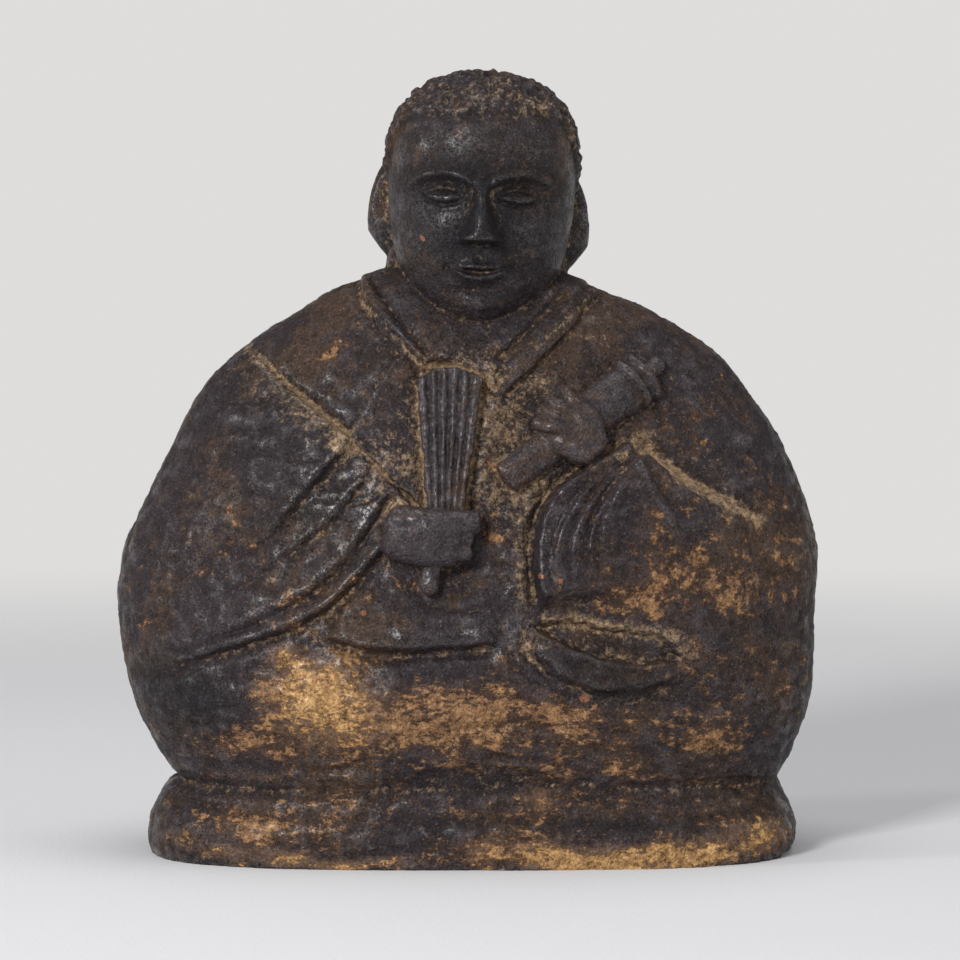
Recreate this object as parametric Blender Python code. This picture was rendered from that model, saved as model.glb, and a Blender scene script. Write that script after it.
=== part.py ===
"""A squat monk seated in layered robes, with a closed fan and a scroll, carved from one block of stone.

Axes: +Z is up and the figure faces -Y. The origin is on the ground under the middle of the figure.
Lengths are in metres. The carving on the front is drawn in shares: a place is (share of WIDTH to the
right of the middle, share of HEIGHT above the ground). Depths of carving are counted in cuts.
"""

import math

import bmesh
import bpy
import numpy as np

# Overall sizes
HEIGHT = 0.260
WIDTH = 0.234
DEPTH = 0.120

# One cut of the chisel: a millimetre on a figure of this height
CUT = HEIGHT / 260

# The head, with its middle a little right of the body's middle
HEAD_WIDTH = 0.062
HEAD_HEIGHT = 0.083
HEAD_DEPTH = 0.072
HEAD_RIGHT = 0.0024
HEAD_FORWARD = 0.0075
HEAD_LEAN = math.radians(2.0)
EAR_HEIGHT = 0.0360
EAR_WIDTH = 0.0165
EAR_THICKNESS = 0.0060
EAR_FLARE = math.radians(56)
HAIR_HEIGHT = 0.0012

# What the hands hold
FAN_RELIEF = 0.0055
FAN_THICKNESS = 0.0085
FAN_RIBS = 6
RIB_DEPTH = 0.0016
SCROLL_RADIUS = 0.0082
SCROLL_KNOB_RADIUS = 0.0032
FINGER_RADIUS = 0.0027

# The cloth
CLOTH_EDGE = 0.0040
CLOTH_SOFTNESS = 0.0011
COLLAR_RELIEF = 0.0024
COLLAR_WIDTH = 0.0034

# The chisel's grain: the spacing of the carved surface, and the facets of the finished solid
GRAIN = 0.0013
FACETS = 9600
SAW_DEPTH = 0.004

# Half widths of the block, as (share of HEIGHT, share of WIDTH), and its reach to the front and to the
# back, as (share of HEIGHT, share of DEPTH)
OUTLINE_LEFT = [
    (-0.03, 0.448), (0.0, 0.456), (0.022, 0.461), (0.048, 0.456), (0.074, 0.442), (0.086, 0.429),
    (0.094, 0.415), (0.103, 0.416), (0.126, 0.442),
    (0.203, 0.484), (0.306, 0.503), (0.358, 0.501), (0.409, 0.486), (0.512, 0.430), (0.590, 0.385),
    (0.641, 0.330), (0.693, 0.244), (0.719, 0.198), (0.740, 0.136), (0.760, 0.092),
]
OUTLINE_RIGHT = [
    (-0.03, 0.446), (0.0, 0.458), (0.022, 0.466), (0.048, 0.463), (0.074, 0.449), (0.088, 0.442),
    (0.096, 0.440), (0.106, 0.446), (0.126, 0.459),
    (0.203, 0.489), (0.306, 0.493), (0.358, 0.496), (0.409, 0.493), (0.512, 0.452), (0.590, 0.396),
    (0.641, 0.348), (0.693, 0.257), (0.719, 0.188), (0.740, 0.132), (0.760, 0.090),
]
REACH_FRONT = [
    (-0.03, 0.492), (0.0, 0.496), (0.03, 0.500), (0.060, 0.493), (0.085, 0.476), (0.105, 0.470),
    (0.15, 0.490), (0.20, 0.506), (0.30, 0.480), (0.40, 0.436), (0.50, 0.388), (0.60, 0.326), (0.66, 0.278),
    (0.70, 0.230), (0.74, 0.165), (0.76, 0.120),
]
REACH_BACK = [
    (-0.03, 0.425), (0.0, 0.433), (0.03, 0.444), (0.075, 0.407), (0.10, 0.412), (0.20, 0.466),
    (0.30, 0.488), (0.40, 0.488), (0.50, 0.466), (0.60, 0.405), (0.66, 0.350), (0.70, 0.290),
    (0.74, 0.205), (0.76, 0.150),
]
SQUARENESS = [(-0.03, 3.1), (0.07, 3.0), (0.13, 2.6), (0.30, 2.35), (0.60, 2.15), (0.76, 2.0)]

# The head's half width, front and back, as (share of HEAD_HEIGHT above the chin, share of the size)
HEAD_SIDES = [
    (0.0, 0.30), (0.04, 0.50), (0.12, 0.70), (0.24, 0.87), (0.40, 0.97), (0.55, 1.0), (0.72, 0.985),
    (0.85, 0.86), (0.94, 0.62), (0.985, 0.32), (1.0, 0.06),
]
HEAD_FRONT = [
    (0.0, 0.50), (0.04, 0.72), (0.12, 0.84), (0.24, 0.88), (0.40, 0.93), (0.55, 0.955), (0.72, 0.96),
    (0.85, 0.85), (0.94, 0.62), (0.985, 0.32), (1.0, 0.06),
]
HEAD_BACK = [
    (0.0, 0.42), (0.10, 0.56), (0.25, 0.72), (0.42, 0.90), (0.60, 1.0), (0.75, 0.97), (0.86, 0.82),
    (0.94, 0.60), (0.985, 0.32), (1.0, 0.06),
]
CHIN = 1.0 - (HEAD_HEIGHT + HAIR_HEIGHT) / HEIGHT


def curve_through(points, steps=8):
    """Points on a smooth curve that passes through the given ones."""
    given = np.array(points, float)
    given = np.vstack([2 * given[0] - given[1], given, 2 * given[-1] - given[-2]])
    t = np.linspace(0, 1, steps, endpoint=False)[:, None]
    spans = []
    for a, b, c, d in zip(given, given[1:], given[2:], given[3:]):
        spans.append(b + 0.5 * t * (c - a + t * (2 * a - 5 * b + 4 * c - d + t * (3 * (b - c) + d - a))))
    return np.vstack([*spans, given[-2]])


def read_off(profile, places):
    """The smooth profile's value at each place."""
    curve = curve_through(profile)
    return np.interp(places, curve[:, 0], curve[:, 1])


def ease(t):
    """0 up to t = 0 and 1 from t = 1, with a smooth rise between."""
    t = np.clip(t, 0, 1)
    return t * t * (3 - 2 * t)


def drawn(*runs):
    """A line on the front in metres: smooth runs of places given in shares, joined at sharp corners."""
    return np.vstack([curve_through(run) * (WIDTH, HEIGHT) for run in runs])


def measure(line, x, z):
    """How far each (x, z) is from the line, positive on its left, and its share of the way along."""
    nearest = np.full(x.shape, np.inf)
    aside = np.zeros(x.shape)
    share = np.zeros(x.shape)
    spans = np.diff(line, axis=0)
    lengths = np.hypot(*spans.T)
    done = 0.0
    for (ax, az), (dx, dz), length in zip(line, spans, lengths):
        if length < 1e-7:
            continue
        along = ((x - ax) * dx + (z - az) * dz) / length**2
        off = (dx * (z - az) - dz * (x - ax)) / length
        t = np.clip(along, 0, 1)
        gap = np.hypot(x - ax - t * dx, z - az - t * dz)
        # Two spans meet at the nearest corner of many places. The one seen more from its side decides.
        better = (gap < nearest - 1e-9) | ((gap < nearest + 1e-9) & (np.abs(off) > np.abs(aside)))
        nearest = np.where(better, gap, nearest)
        aside = np.where(better, off, aside)
        share = np.where(better, (done + t * length) / lengths.sum(), share)
        done += length
    return nearest * np.where(aside < 0, -1, 1), share


def faded(share, start=0.12, end=0.12):
    """1 along a line, easing to 0 at its two ends."""
    return ease(share / start) * ease((1 - share) / end)


def crease(x, z, line, depth=1.6, width=1.7, ends=(0.12, 0.12)):
    """A groove along the line, in cuts. A negative depth raises a ridge."""
    away, share = measure(line, x, z)
    return -depth * CUT * np.exp(-((away / (width * CUT)) ** 2)) * faded(share, *ends)


def layer(x, z, line, height=1.0, reach=22, softness=1.0, ends=(0.1, 0.1)):
    """A layer of cloth on the line's left: a steep edge that sinks back to the block over its reach."""
    away, share = measure(line, x, z)
    soft = softness * CLOTH_SOFTNESS
    rise = ease(away / soft / 2 + 0.5) * np.exp(-((np.maximum(away, 0) / (reach * CUT)) ** 2))
    rolled = 0.12 * np.exp(-(((away - 1.8 * soft) / (1.2 * soft)) ** 2))
    shadow = 0.2 * np.exp(-(((away + 2 * soft) / (1.8 * soft)) ** 2))
    return height * CLOTH_EDGE * (rise + rolled - shadow) * faded(share, *ends)


def plate(x, z, outline, height, softness=1.0):
    """A raised flat shape, in cuts, inside a closed outline that runs anticlockwise."""
    away, _ = measure(outline, x, z)
    return height * CUT * ease(away / (softness * CLOTH_SOFTNESS) / 2 + 0.5)


def mound(x, z, centre, radii, height, turn=0.0):
    """A soft oval swelling, its radii and height in cuts. A negative height hollows the surface."""
    dx, dz = x - centre[0] * WIDTH, z - centre[1] * HEIGHT
    along = (dx * math.cos(turn) + dz * math.sin(turn)) / (radii[0] * CUT)
    across = (dz * math.cos(turn) - dx * math.sin(turn)) / (radii[1] * CUT)
    return height * CUT * np.exp(-1.6 * (along**2 + across**2))


# The lines of the robe, in shares of WIDTH and HEIGHT
ARM_EDGE = drawn(
    [(-0.37, 0.358), (-0.273, 0.419), (-0.186, 0.508), (-0.159, 0.535)],
    [(-0.161, 0.533), (-0.208, 0.567), (-0.260, 0.604), (-0.320, 0.652), (-0.390, 0.712)],
)
ARM_FURROW = drawn([(-0.168, 0.538), (-0.208, 0.568), (-0.260, 0.606), (-0.325, 0.656)])
SECOND_EDGE = drawn(
    [(-0.321, 0.350), (-0.207, 0.424), (-0.160, 0.471), (-0.134, 0.508)],
    [(-0.134, 0.508), (-0.161, 0.535)],
)
THIRD_EDGE = drawn(
    [(-0.443, 0.252), (-0.288, 0.311), (-0.191, 0.365), (-0.124, 0.444), (-0.103, 0.472)],
    [(-0.103, 0.474), (-0.134, 0.508)],
)
CUFF_EDGE = drawn(
    [(-0.443, 0.243), (-0.294, 0.288), (-0.201, 0.327), (-0.124, 0.397), (-0.086, 0.459)],
    [(-0.087, 0.460), (-0.106, 0.484)],
)
CUFF_LINE = drawn([(-0.443, 0.256), (-0.288, 0.312), (-0.191, 0.366), (-0.124, 0.445), (-0.101, 0.476)])
HANGING_EDGE = drawn(
    [(0.227, 0.534), (0.155, 0.499), (0.112, 0.465), (0.095, 0.425), (0.091, 0.387), (0.099, 0.325)]
)
HANGING_SECOND = drawn([(0.248, 0.523), (0.205, 0.482), (0.183, 0.439), (0.178, 0.411), (0.189, 0.351)])
HANGING_FOLDS = [
    drawn([(0.200, 0.506), (0.148, 0.462), (0.117, 0.405), (0.118, 0.345)]),
    drawn([(0.205, 0.500), (0.160, 0.452), (0.140, 0.405), (0.143, 0.352)]),
    drawn([(0.212, 0.496), (0.178, 0.452), (0.162, 0.405), (0.166, 0.360)]),
]
ARM_VALLEY = drawn([(0.420, 0.426), (0.378, 0.448), (0.336, 0.467), (0.290, 0.493), (0.236, 0.528)])
POCKET = drawn(
    [(0.093, 0.306), (0.120, 0.289), (0.170, 0.269), (0.211, 0.260), (0.250, 0.257), (0.292, 0.264)],
    [(0.292, 0.265), (0.267, 0.290), (0.231, 0.298), (0.179, 0.305), (0.128, 0.314), (0.093, 0.308)],
)
POCKET_LIP = drawn(
    [(0.098, 0.298), (0.128, 0.285), (0.170, 0.267), (0.211, 0.258), (0.250, 0.256), (0.288, 0.262)]
)
POCKET_FOLD = drawn(
    [(0.088, 0.312), (0.090, 0.285), (0.103, 0.262), (0.135, 0.240), (0.180, 0.224), (0.240, 0.226),
     (0.303, 0.250)]
)
POCKET_CREASES = [
    drawn([(0.046, 0.290), (0.067, 0.255), (0.110, 0.228)]),
    drawn([(0.066, 0.295), (0.088, 0.263), (0.125, 0.236)]),
]
POCKET_HEM = drawn([(0.155, 0.197), (0.206, 0.212), (0.262, 0.227)])
BELLY_SHELF = drawn([(-0.206, 0.297), (-0.185, 0.288), (-0.124, 0.277), (-0.051, 0.279), (0.046, 0.288)])
BELLY_ARC = drawn([(-0.078, 0.340), (-0.031, 0.327), (0.006, 0.327), (0.018, 0.340)])
BELLY_LINES = [
    drawn([(-0.190, 0.318 - drop), (-0.110, 0.305 - drop), (-0.030, 0.303 - drop), (0.050, 0.308 - drop)])
    for drop in (-0.007, 0.0, 0.007, 0.013)
]
KNEE_FOLD = drawn([(-0.206, 0.297), (-0.236, 0.274), (-0.283, 0.233)])
BASE_EDGE = drawn(
    [(-0.445, 0.101), (-0.257, 0.099), (-0.154, 0.104), (-0.078, 0.120), (0.0, 0.131), (0.076, 0.128)],
    [(0.076, 0.128), (0.128, 0.115), (0.236, 0.108), (0.360, 0.109), (0.450, 0.101)],
)
LAP_CREASES = [
    drawn([(-0.250, 0.128), (-0.196, 0.124), (-0.154, 0.135), (-0.110, 0.148)]),
    drawn([(-0.078, 0.169), (0.0, 0.183), (0.076, 0.188), (0.180, 0.173)]),
    drawn([(-0.020, 0.146), (0.076, 0.142), (0.140, 0.130)]),
]
RIM_CREASE = drawn(
    [(-0.440, 0.074), (-0.236, 0.066), (-0.051, 0.062), (0.103, 0.064), (0.257, 0.057), (0.436, 0.075)]
)
COLLAR_EDGE = drawn(
    [(-0.156, 0.742), (-0.146, 0.706), (-0.114, 0.674), (-0.079, 0.641), (-0.062, 0.627)],
    [(-0.062, 0.627), (-0.029, 0.632), (0.006, 0.620), (0.035, 0.600)],
    [(0.037, 0.600), (0.062, 0.622), (0.104, 0.660), (0.146, 0.693), (0.185, 0.722)],
)
COLLAR_LINES = [
    drawn([(-0.138, 0.730), (-0.110, 0.693), (-0.079, 0.660), (-0.056, 0.636)]),
    drawn([(0.175, 0.729), (0.129, 0.688), (0.077, 0.646), (0.028, 0.610)]),
    drawn([(0.130, 0.718), (0.089, 0.679), (0.052, 0.648), (0.034, 0.634)]),
]
FAN_TOP = [(-0.074, 0.614), (-0.052, 0.627), (-0.029, 0.630), (-0.004, 0.626), (0.018, 0.612)]
FAN_FOOT = [(-0.058, 0.440), (-0.010, 0.440)]
FAN = drawn([FAN_TOP[0], FAN_FOOT[0]], FAN_FOOT, [FAN_FOOT[1], FAN_TOP[-1]], FAN_TOP[::-1])


def ring(left, right, front, back, power, count):
    """One level of a block: an oval with its own reach to each side, from the middle of its right side."""
    angle = np.arange(count) * 2 * math.pi / count
    across, along = np.cos(angle), np.sin(angle)
    x = np.sign(across) * np.abs(across) ** (2 / power) * np.where(across < 0, left, right)
    y = np.sign(along) * np.abs(along) ** (2 / power) * np.where(along < 0, front, back)
    return x, y


def outward(grid):
    """The outward normals of a grid of rings that run anticlockwise, seen from above, going up."""
    round_it = np.roll(grid, -1, axis=1) - np.roll(grid, 1, axis=1)
    normals = np.cross(round_it, np.gradient(grid, axis=0))
    return normals / np.maximum(np.linalg.norm(normals, axis=2, keepdims=True), 1e-12)


def front_of_block(x, z):
    """The y of the plain block's front at each (x, z)."""
    level = np.asarray(z) / HEIGHT
    half = np.where(np.asarray(x) < 0, read_off(OUTLINE_LEFT, level), read_off(OUTLINE_RIGHT, level)) * WIDTH
    power = read_off(SQUARENESS, level)
    across = np.clip(np.abs(x) / half, 0, 0.999)
    return -read_off(REACH_FRONT, level) * DEPTH * (1 - across**power) ** (1 / power)


def on_front(place, lift):
    """The 3D place that stands out by lift cuts from the block, above a place given in shares."""
    x, z = place[0] * WIDTH, place[1] * HEIGHT
    return (x, float(front_of_block(np.array([x]), np.array([z]))[0]) - lift * CUT, z)


def masses(x, z):
    """The big soft forms: the arms inside the sleeves, the knees, and the hollow chest."""
    out = mound(x, z, (-0.275, 0.480), (40, 26), 3.4, turn=0.75)
    out += mound(x, z, (0.310, 0.375), (34, 40), 4.6)
    out += mound(x, z, (0.0, 0.40), (20, 40), -3.0)
    out += mound(x, z, (-0.340, 0.205), (26, 16), 2.2)
    out += mound(x, z, (0.340, 0.175), (30, 18), 1.8)
    out += mound(x, z, (-0.080, 0.215), (40, 14), 2.6)
    out += mound(x, z, (0.195, 0.243), (20, 6), 1.4)
    out += mound(x, z, (0.100, 0.570), (14, 15), -2.0)
    return out


def left_sleeve(x, z):
    """The nested edges of the sleeve on the left."""
    out = layer(x, z, ARM_EDGE, height=1.0, reach=36, ends=(0.50, 0.34))
    out += crease(x, z, ARM_FURROW, depth=1.8, width=2.6, ends=(0.1, 0.6))
    out += layer(x, z, SECOND_EDGE, height=0.42, reach=20, ends=(0.40, 0.02))
    out += layer(x, z, THIRD_EDGE, height=0.40, reach=16, ends=(0.45, 0.02))
    out += layer(x, z, CUFF_EDGE, height=0.80, reach=16, ends=(0.22, 0.02))
    out += crease(x, z, CUFF_LINE, width=1.3, ends=(0.35, 0.04))
    return out


def right_sleeve(x, z):
    """The hanging sleeve on the right, its folds, and its open mouth on the lap."""
    out = layer(x, z, HANGING_EDGE, height=1.4, reach=30, ends=(0.05, 0.08))
    out += crease(x, z, HANGING_EDGE - (2 * CLOTH_SOFTNESS, 0), depth=1.8, width=2.2, ends=(0.3, 0.1))
    out += layer(x, z, HANGING_SECOND, height=0.55, reach=20, ends=(0.03, 0.4))
    for fold in HANGING_FOLDS:
        out += layer(x, z, fold, height=0.44, reach=5, softness=0.55, ends=(0.3, 0.3))
    out += layer(x, z, ARM_VALLEY, height=0.6, reach=24, softness=2.2, ends=(0.4, 0.04))
    out += crease(x, z, ARM_VALLEY, depth=2.4, width=3.6, ends=(0.5, 0.04))
    out += layer(x, z, POCKET_FOLD, height=0.8, reach=14, softness=1.5, ends=(0.15, 0.15))
    out += plate(x, z, POCKET, -4.2, softness=1.3)
    out += crease(x, z, POCKET_LIP, depth=-1.3, width=1.1, ends=(0.1, 0.1))
    for fold in POCKET_CREASES:
        out += crease(x, z, fold, depth=1.0, width=1.1, ends=(0.2, 0.4))
    out += crease(x, z, POCKET_HEM, depth=-0.9, width=1.2, ends=(0.3, 0.3))
    return out


def lap(x, z):
    """The belly's shelf, the lap below it, and the hem over the foot."""
    out = layer(x, z, BELLY_SHELF, height=0.85, reach=12)
    out += crease(x, z, BELLY_SHELF - (0, 2.4 * CUT), depth=1.2, width=2.2, ends=(0.3, 0.15))
    for line in BELLY_LINES:
        out += crease(x, z, line, depth=0.45, width=0.9, ends=(0.3, 0.3))
    out += crease(x, z, KNEE_FOLD, depth=1.0, width=2.0, ends=(0.1, 0.4))
    out += crease(x, z, BELLY_ARC, depth=0.7, width=0.9)
    for fold in LAP_CREASES:
        out += crease(x, z, fold, depth=1.1, width=1.4, ends=(0.35, 0.35))
    out += layer(x, z, BASE_EDGE, height=0.32, reach=12, softness=2.4, ends=(0.03, 0.03))
    for drop, depth in ((-2.6, 0.4), (0.0, 0.5), (2.8, 0.4), (5.4, 0.3)):
        broken = 0.55 + 0.45 * np.sin(x / WIDTH * 23 + 2.1 * drop)
        out += crease(x, z, BASE_EDGE - (0, drop * CUT), depth=depth, width=0.7, ends=(0.03, 0.03)) * broken
    out += crease(x, z, RIM_CREASE, depth=0.9, width=2.4, ends=(0.02, 0.02))
    return out


def collars(x, z):
    """The two crossed bands at the neck, and the sunk ground round the fan."""
    out = layer(x, z, COLLAR_EDGE, height=1.3 * COLLAR_RELIEF / CLOTH_EDGE, reach=30, ends=(0.02, 0.02))
    for line in COLLAR_LINES:
        out += layer(x, z, line, height=-0.5 * COLLAR_RELIEF / CLOTH_EDGE, reach=9, ends=(0.05, 0.05))
        out += crease(x, z, line, depth=1.5, width=1.1, ends=(0.05, 0.05))
    out += crease(x, z, FAN, depth=1.4, width=3.0, ends=(0.001, 0.001))
    return out


def robe_relief(x, z):
    """How far the carved robe stands out from the plain block at each front place."""
    return masses(x, z) + left_sleeve(x, z) + right_sleeve(x, z) + lap(x, z) + collars(x, z)


def back_relief(x, z):
    """A few long shallow folds that fall from the shoulders."""
    out = np.zeros(x.shape)
    for fold in (
        [(-0.30, 0.60), (-0.20, 0.40), (-0.16, 0.20)],
        [(0.30, 0.60), (0.19, 0.42), (0.13, 0.22)],
        [(-0.05, 0.66), (0.02, 0.45), (0.00, 0.25)],
    ):
        out += crease(x, z, drawn(fold), depth=1.1, width=4.0, ends=(0.3, 0.4))
    hem = drawn([(-0.43, 0.068), (0.0, 0.062), (0.43, 0.068)])
    return out + crease(x, z, hem, depth=0.9, width=2.6, ends=(0.02, 0.02))


def carved_block():
    """The seated body and its low foot, carved on the front and more plainly on the back."""
    rows, columns = round(0.79 * HEIGHT / GRAIN), round(2.7 * WIDTH / GRAIN)
    levels = np.linspace(OUTLINE_LEFT[0][0], OUTLINE_LEFT[-1][0], rows)
    sizes = zip(
        levels * HEIGHT,
        read_off(OUTLINE_LEFT, levels) * WIDTH,
        read_off(OUTLINE_RIGHT, levels) * WIDTH,
        read_off(REACH_FRONT, levels) * DEPTH,
        read_off(REACH_BACK, levels) * DEPTH,
        read_off(SQUARENESS, levels),
    )
    grid = np.array([
        np.column_stack([*ring(left, right, front, back, power, columns), np.full(columns, z)])
        for z, left, right, front, back, power in sizes
    ])
    facing = outward(grid)
    x, y, z = np.moveaxis(grid, 2, 0)
    relief = np.zeros(x.shape)
    front, back = facing[..., 1] < 0, facing[..., 1] > 0
    relief[front] = robe_relief(x[front], z[front]) * ease(-facing[front][:, 1] / 0.35)
    relief[back] = back_relief(x[back], z[back]) * ease(facing[back][:, 1] / 0.35)
    return solid_from("block", grid + facing * relief[..., None])


def solid_from(name, grid):
    """A closed object whose skin runs over a grid of rings, with flat ends."""
    rows, columns, _ = grid.shape
    body = bmesh.new()
    places = [body.verts.new(place) for place in grid.reshape(-1, 3)]
    for row in range(rows - 1):
        for column in range(columns):
            here, there = row * columns, (row + 1) * columns
            after = (column + 1) % columns
            corners = (here + column, here + after, there + after, there + column)
            body.faces.new([places[corner] for corner in corners])
    body.faces.new(places[:columns][::-1])
    body.faces.new(places[-columns:])
    mesh = bpy.data.meshes.new(name)
    body.to_mesh(mesh)
    body.free()
    made = bpy.data.objects.new(name, mesh)
    bpy.context.scene.collection.objects.link(made)
    return made


def face_relief(a, t):
    """The carved face: a is the share of the head's half width, t of its height above the chin."""

    def swell(at, radii, height):
        across, up = (np.abs(a) - at[0]) / radii[0], (t - at[1]) / radii[1]
        return height * CUT * np.exp(-(across**2) - up**2)

    def arc(middle, bend, half, width, height):
        bow = middle[1] + bend * (np.abs(a) - middle[0]) ** 2
        ends = ease((half - np.abs(np.abs(a) - middle[0])) / (0.4 * half))
        return height * CUT * np.exp(-(((t - bow) / width) ** 2)) * ends

    sockets = swell((0.40, 0.530), (0.25, 0.068), -3.8)
    brows = arc((0.42, 0.612), -0.35, 0.42, 0.020, 2.0)
    lids = swell((0.40, 0.514), (0.19, 0.036), 3.6)
    lids += arc((0.40, 0.490), 0.50, 0.25, 0.0095, -2.0)
    lids += arc((0.40, 0.552), -0.60, 0.24, 0.0085, -1.2)
    along = ease((t - 0.335) / 0.022) * ease((0.64 - t) / 0.12)
    half = 0.075 + 0.10 * ease((0.55 - t) / 0.22)
    nose = CUT * (3.0 + 6.0 * ease((0.60 - t) / 0.24)) * np.exp(-((np.abs(a) / half) ** 2.8)) * along
    nose += swell((0.150, 0.362), (0.065, 0.026), 3.6)
    nose += swell((0.07, 0.334), (0.035, 0.010), -1.2)
    mouth = swell((0.0, 0.285), (0.050, 0.030), -0.9)
    mouth += swell((0.0, 0.225), (0.40, 0.100), 1.4)
    mouth += arc((0.0, 0.250), -0.30, 0.31, 0.017, 2.0)
    mouth += arc((0.0, 0.203), 0.35, 0.28, 0.020, 2.3)
    mouth += arc((0.0, 0.227), 0.25, 0.33, 0.0080, -2.6)
    mouth += swell((0.34, 0.236), (0.045, 0.020), -1.5)
    chin = swell((0.0, 0.152), (0.22, 0.020), -1.8) + swell((0.0, 0.088), (0.22, 0.052), 2.8)
    return sockets + brows + lids + nose + mouth + chin + swell((0.52, 0.370), (0.24, 0.110), 1.4)


def leant(places):
    """Places of the head, set on the neck with its slight lean to the right."""
    x, y, z = np.moveaxis(places, -1, 0)
    return np.stack(
        [
            x * math.cos(HEAD_LEAN) + z * math.sin(HEAD_LEAN) + HEAD_RIGHT,
            y - HEAD_FORWARD,
            z * math.cos(HEAD_LEAN) - x * math.sin(HEAD_LEAN) + CHIN * HEIGHT,
        ],
        axis=-1,
    )


def hairline(turn):
    """Share of the head's height where the hair begins, at each turn from the face (0) to the nape (1)."""
    return 0.83 - 0.30 * ease((turn - 0.25) / 0.30) - 0.36 * ease((turn - 0.62) / 0.22)


def carved_head():
    """The head with its face and hair."""
    rows, columns = round(1.25 * HEAD_HEIGHT / GRAIN), round(3.6 * HEAD_WIDTH / GRAIN)
    levels = 0.5 - 0.5 * np.cos(np.linspace(0, math.pi, rows))
    grid = np.array([
        np.column_stack([
            *ring(side, side, front, back, 2.35, columns), np.full(columns, level * HEAD_HEIGHT),
        ])
        for level, side, front, back in zip(
            levels,
            read_off(HEAD_SIDES, levels) * HEAD_WIDTH / 2,
            read_off(HEAD_FRONT, levels) * HEAD_DEPTH / 2,
            read_off(HEAD_BACK, levels) * HEAD_DEPTH / 2,
        )
    ])
    facing = outward(grid)
    x, y, z = np.moveaxis(grid, 2, 0)
    a, t = x / (HEAD_WIDTH / 2), z / HEAD_HEIGHT
    turn = np.arccos(np.clip(-y / np.maximum(np.hypot(x, y), 1e-6), -1, 1)) / math.pi
    grid[..., 1] -= face_relief(a, t) * ease((-facing[..., 1] - 0.05) / 0.4)
    hair = ease((t - hairline(turn)) / 0.035)
    lumps = np.sin(a * 13 + 2 * np.sin(t * 29)) * np.sin(turn * 31 + 2 * np.sin(a * 17)) * np.sin(t * 37)
    grid += facing * (hair * (HAIR_HEIGHT + 0.6 * CUT * lumps))[..., None]
    return solid_from("head", leant(grid))


def carved_ear(side):
    """The ear on the left (-1) or the right (1)."""
    rows, columns = round(2.2 * EAR_HEIGHT / GRAIN), round(3.4 * EAR_WIDTH / GRAIN)
    grid = []
    for level in 0.5 - 0.5 * np.cos(np.linspace(0.04, math.pi - 0.04, rows)):
        half = EAR_WIDTH / 2 * math.sin(math.pi * level) ** 0.48 * (0.78 + 0.30 * level)
        thick = EAR_THICKNESS / 2 * math.sin(math.pi * level) ** 0.5
        x, y = ring(thick, thick, half, half, 2.3, columns)
        inner = np.exp(-((y / (0.45 * EAR_WIDTH / 2)) ** 2)) * math.exp(-(((level - 0.62) / 0.2) ** 2))
        x = np.where(x > 0, x - 2.0 * CUT * inner, x)
        grid.append(np.column_stack([x, y, np.full(columns, (level - 0.5) * EAR_HEIGHT)]))
    x, y, z = np.moveaxis(np.array(grid), 2, 0)
    out = x * math.cos(EAR_FLARE) + y * math.sin(EAR_FLARE)
    back = y * math.cos(EAR_FLARE) - x * math.sin(EAR_FLARE)
    sunk = 0.0 if side < 0 else 1.4 * CUT
    placed = np.stack(
        [
            side * (out + HEAD_WIDTH / 2 - 0.13 * z - sunk - 0.55 * np.maximum(-z - 0.22 * EAR_HEIGHT, 0)),
            back + 8.0 * CUT,
            z + (0.455 if side < 0 else 0.420) * HEAD_HEIGHT,
        ],
        axis=2,
    )
    return solid_from("ear_left" if side < 0 else "ear_right", leant(placed[:, ::side]))


def swept(name, path, radii, flat=1.0, around=None, power=2.0, blunt=1.0):
    """A solid along a smooth path. flat squashes it towards around, power squares its section, and
    blunt is the length of its rounded ends as a share of their radius.
    """
    line = curve_through(path)
    sizes = curve_through(np.column_stack([radii, radii]))[:, 0]
    ends = np.array([0.0, 0.12, 0.3, 0.6])
    caps = np.maximum(np.sqrt(1 - (1 - ends) ** 2), 0.05)
    first, last = line[0] - line[1], line[-1] - line[-2]
    first, last = first / np.linalg.norm(first), last / np.linalg.norm(last)
    centres = np.vstack([
        [line[0] + first * sizes[0] * blunt * (1 - end) for end in ends],
        line,
        [line[-1] + last * sizes[-1] * blunt * (1 - end) for end in ends[::-1]],
    ])
    widths = np.concatenate([caps * sizes[0], sizes, caps[::-1] * sizes[-1]])
    count = max(16, round(2 * math.pi * max(radii) / GRAIN))
    headings = np.gradient(centres, axis=0)
    headings /= np.linalg.norm(headings, axis=1, keepdims=True)
    grid = []
    for centre, heading, width in zip(centres, headings, widths):
        up = np.array((0.0, -1.0, 0.0) if around is None else around(centre))
        up -= heading * np.dot(up, heading)
        up /= np.linalg.norm(up)
        across, along = ring(width, width, flat * width, flat * width, power, count)
        grid.append(centre + across[:, None] * np.cross(up, heading) - along[:, None] * up)
    return solid_from(name, np.array(grid))


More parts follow.
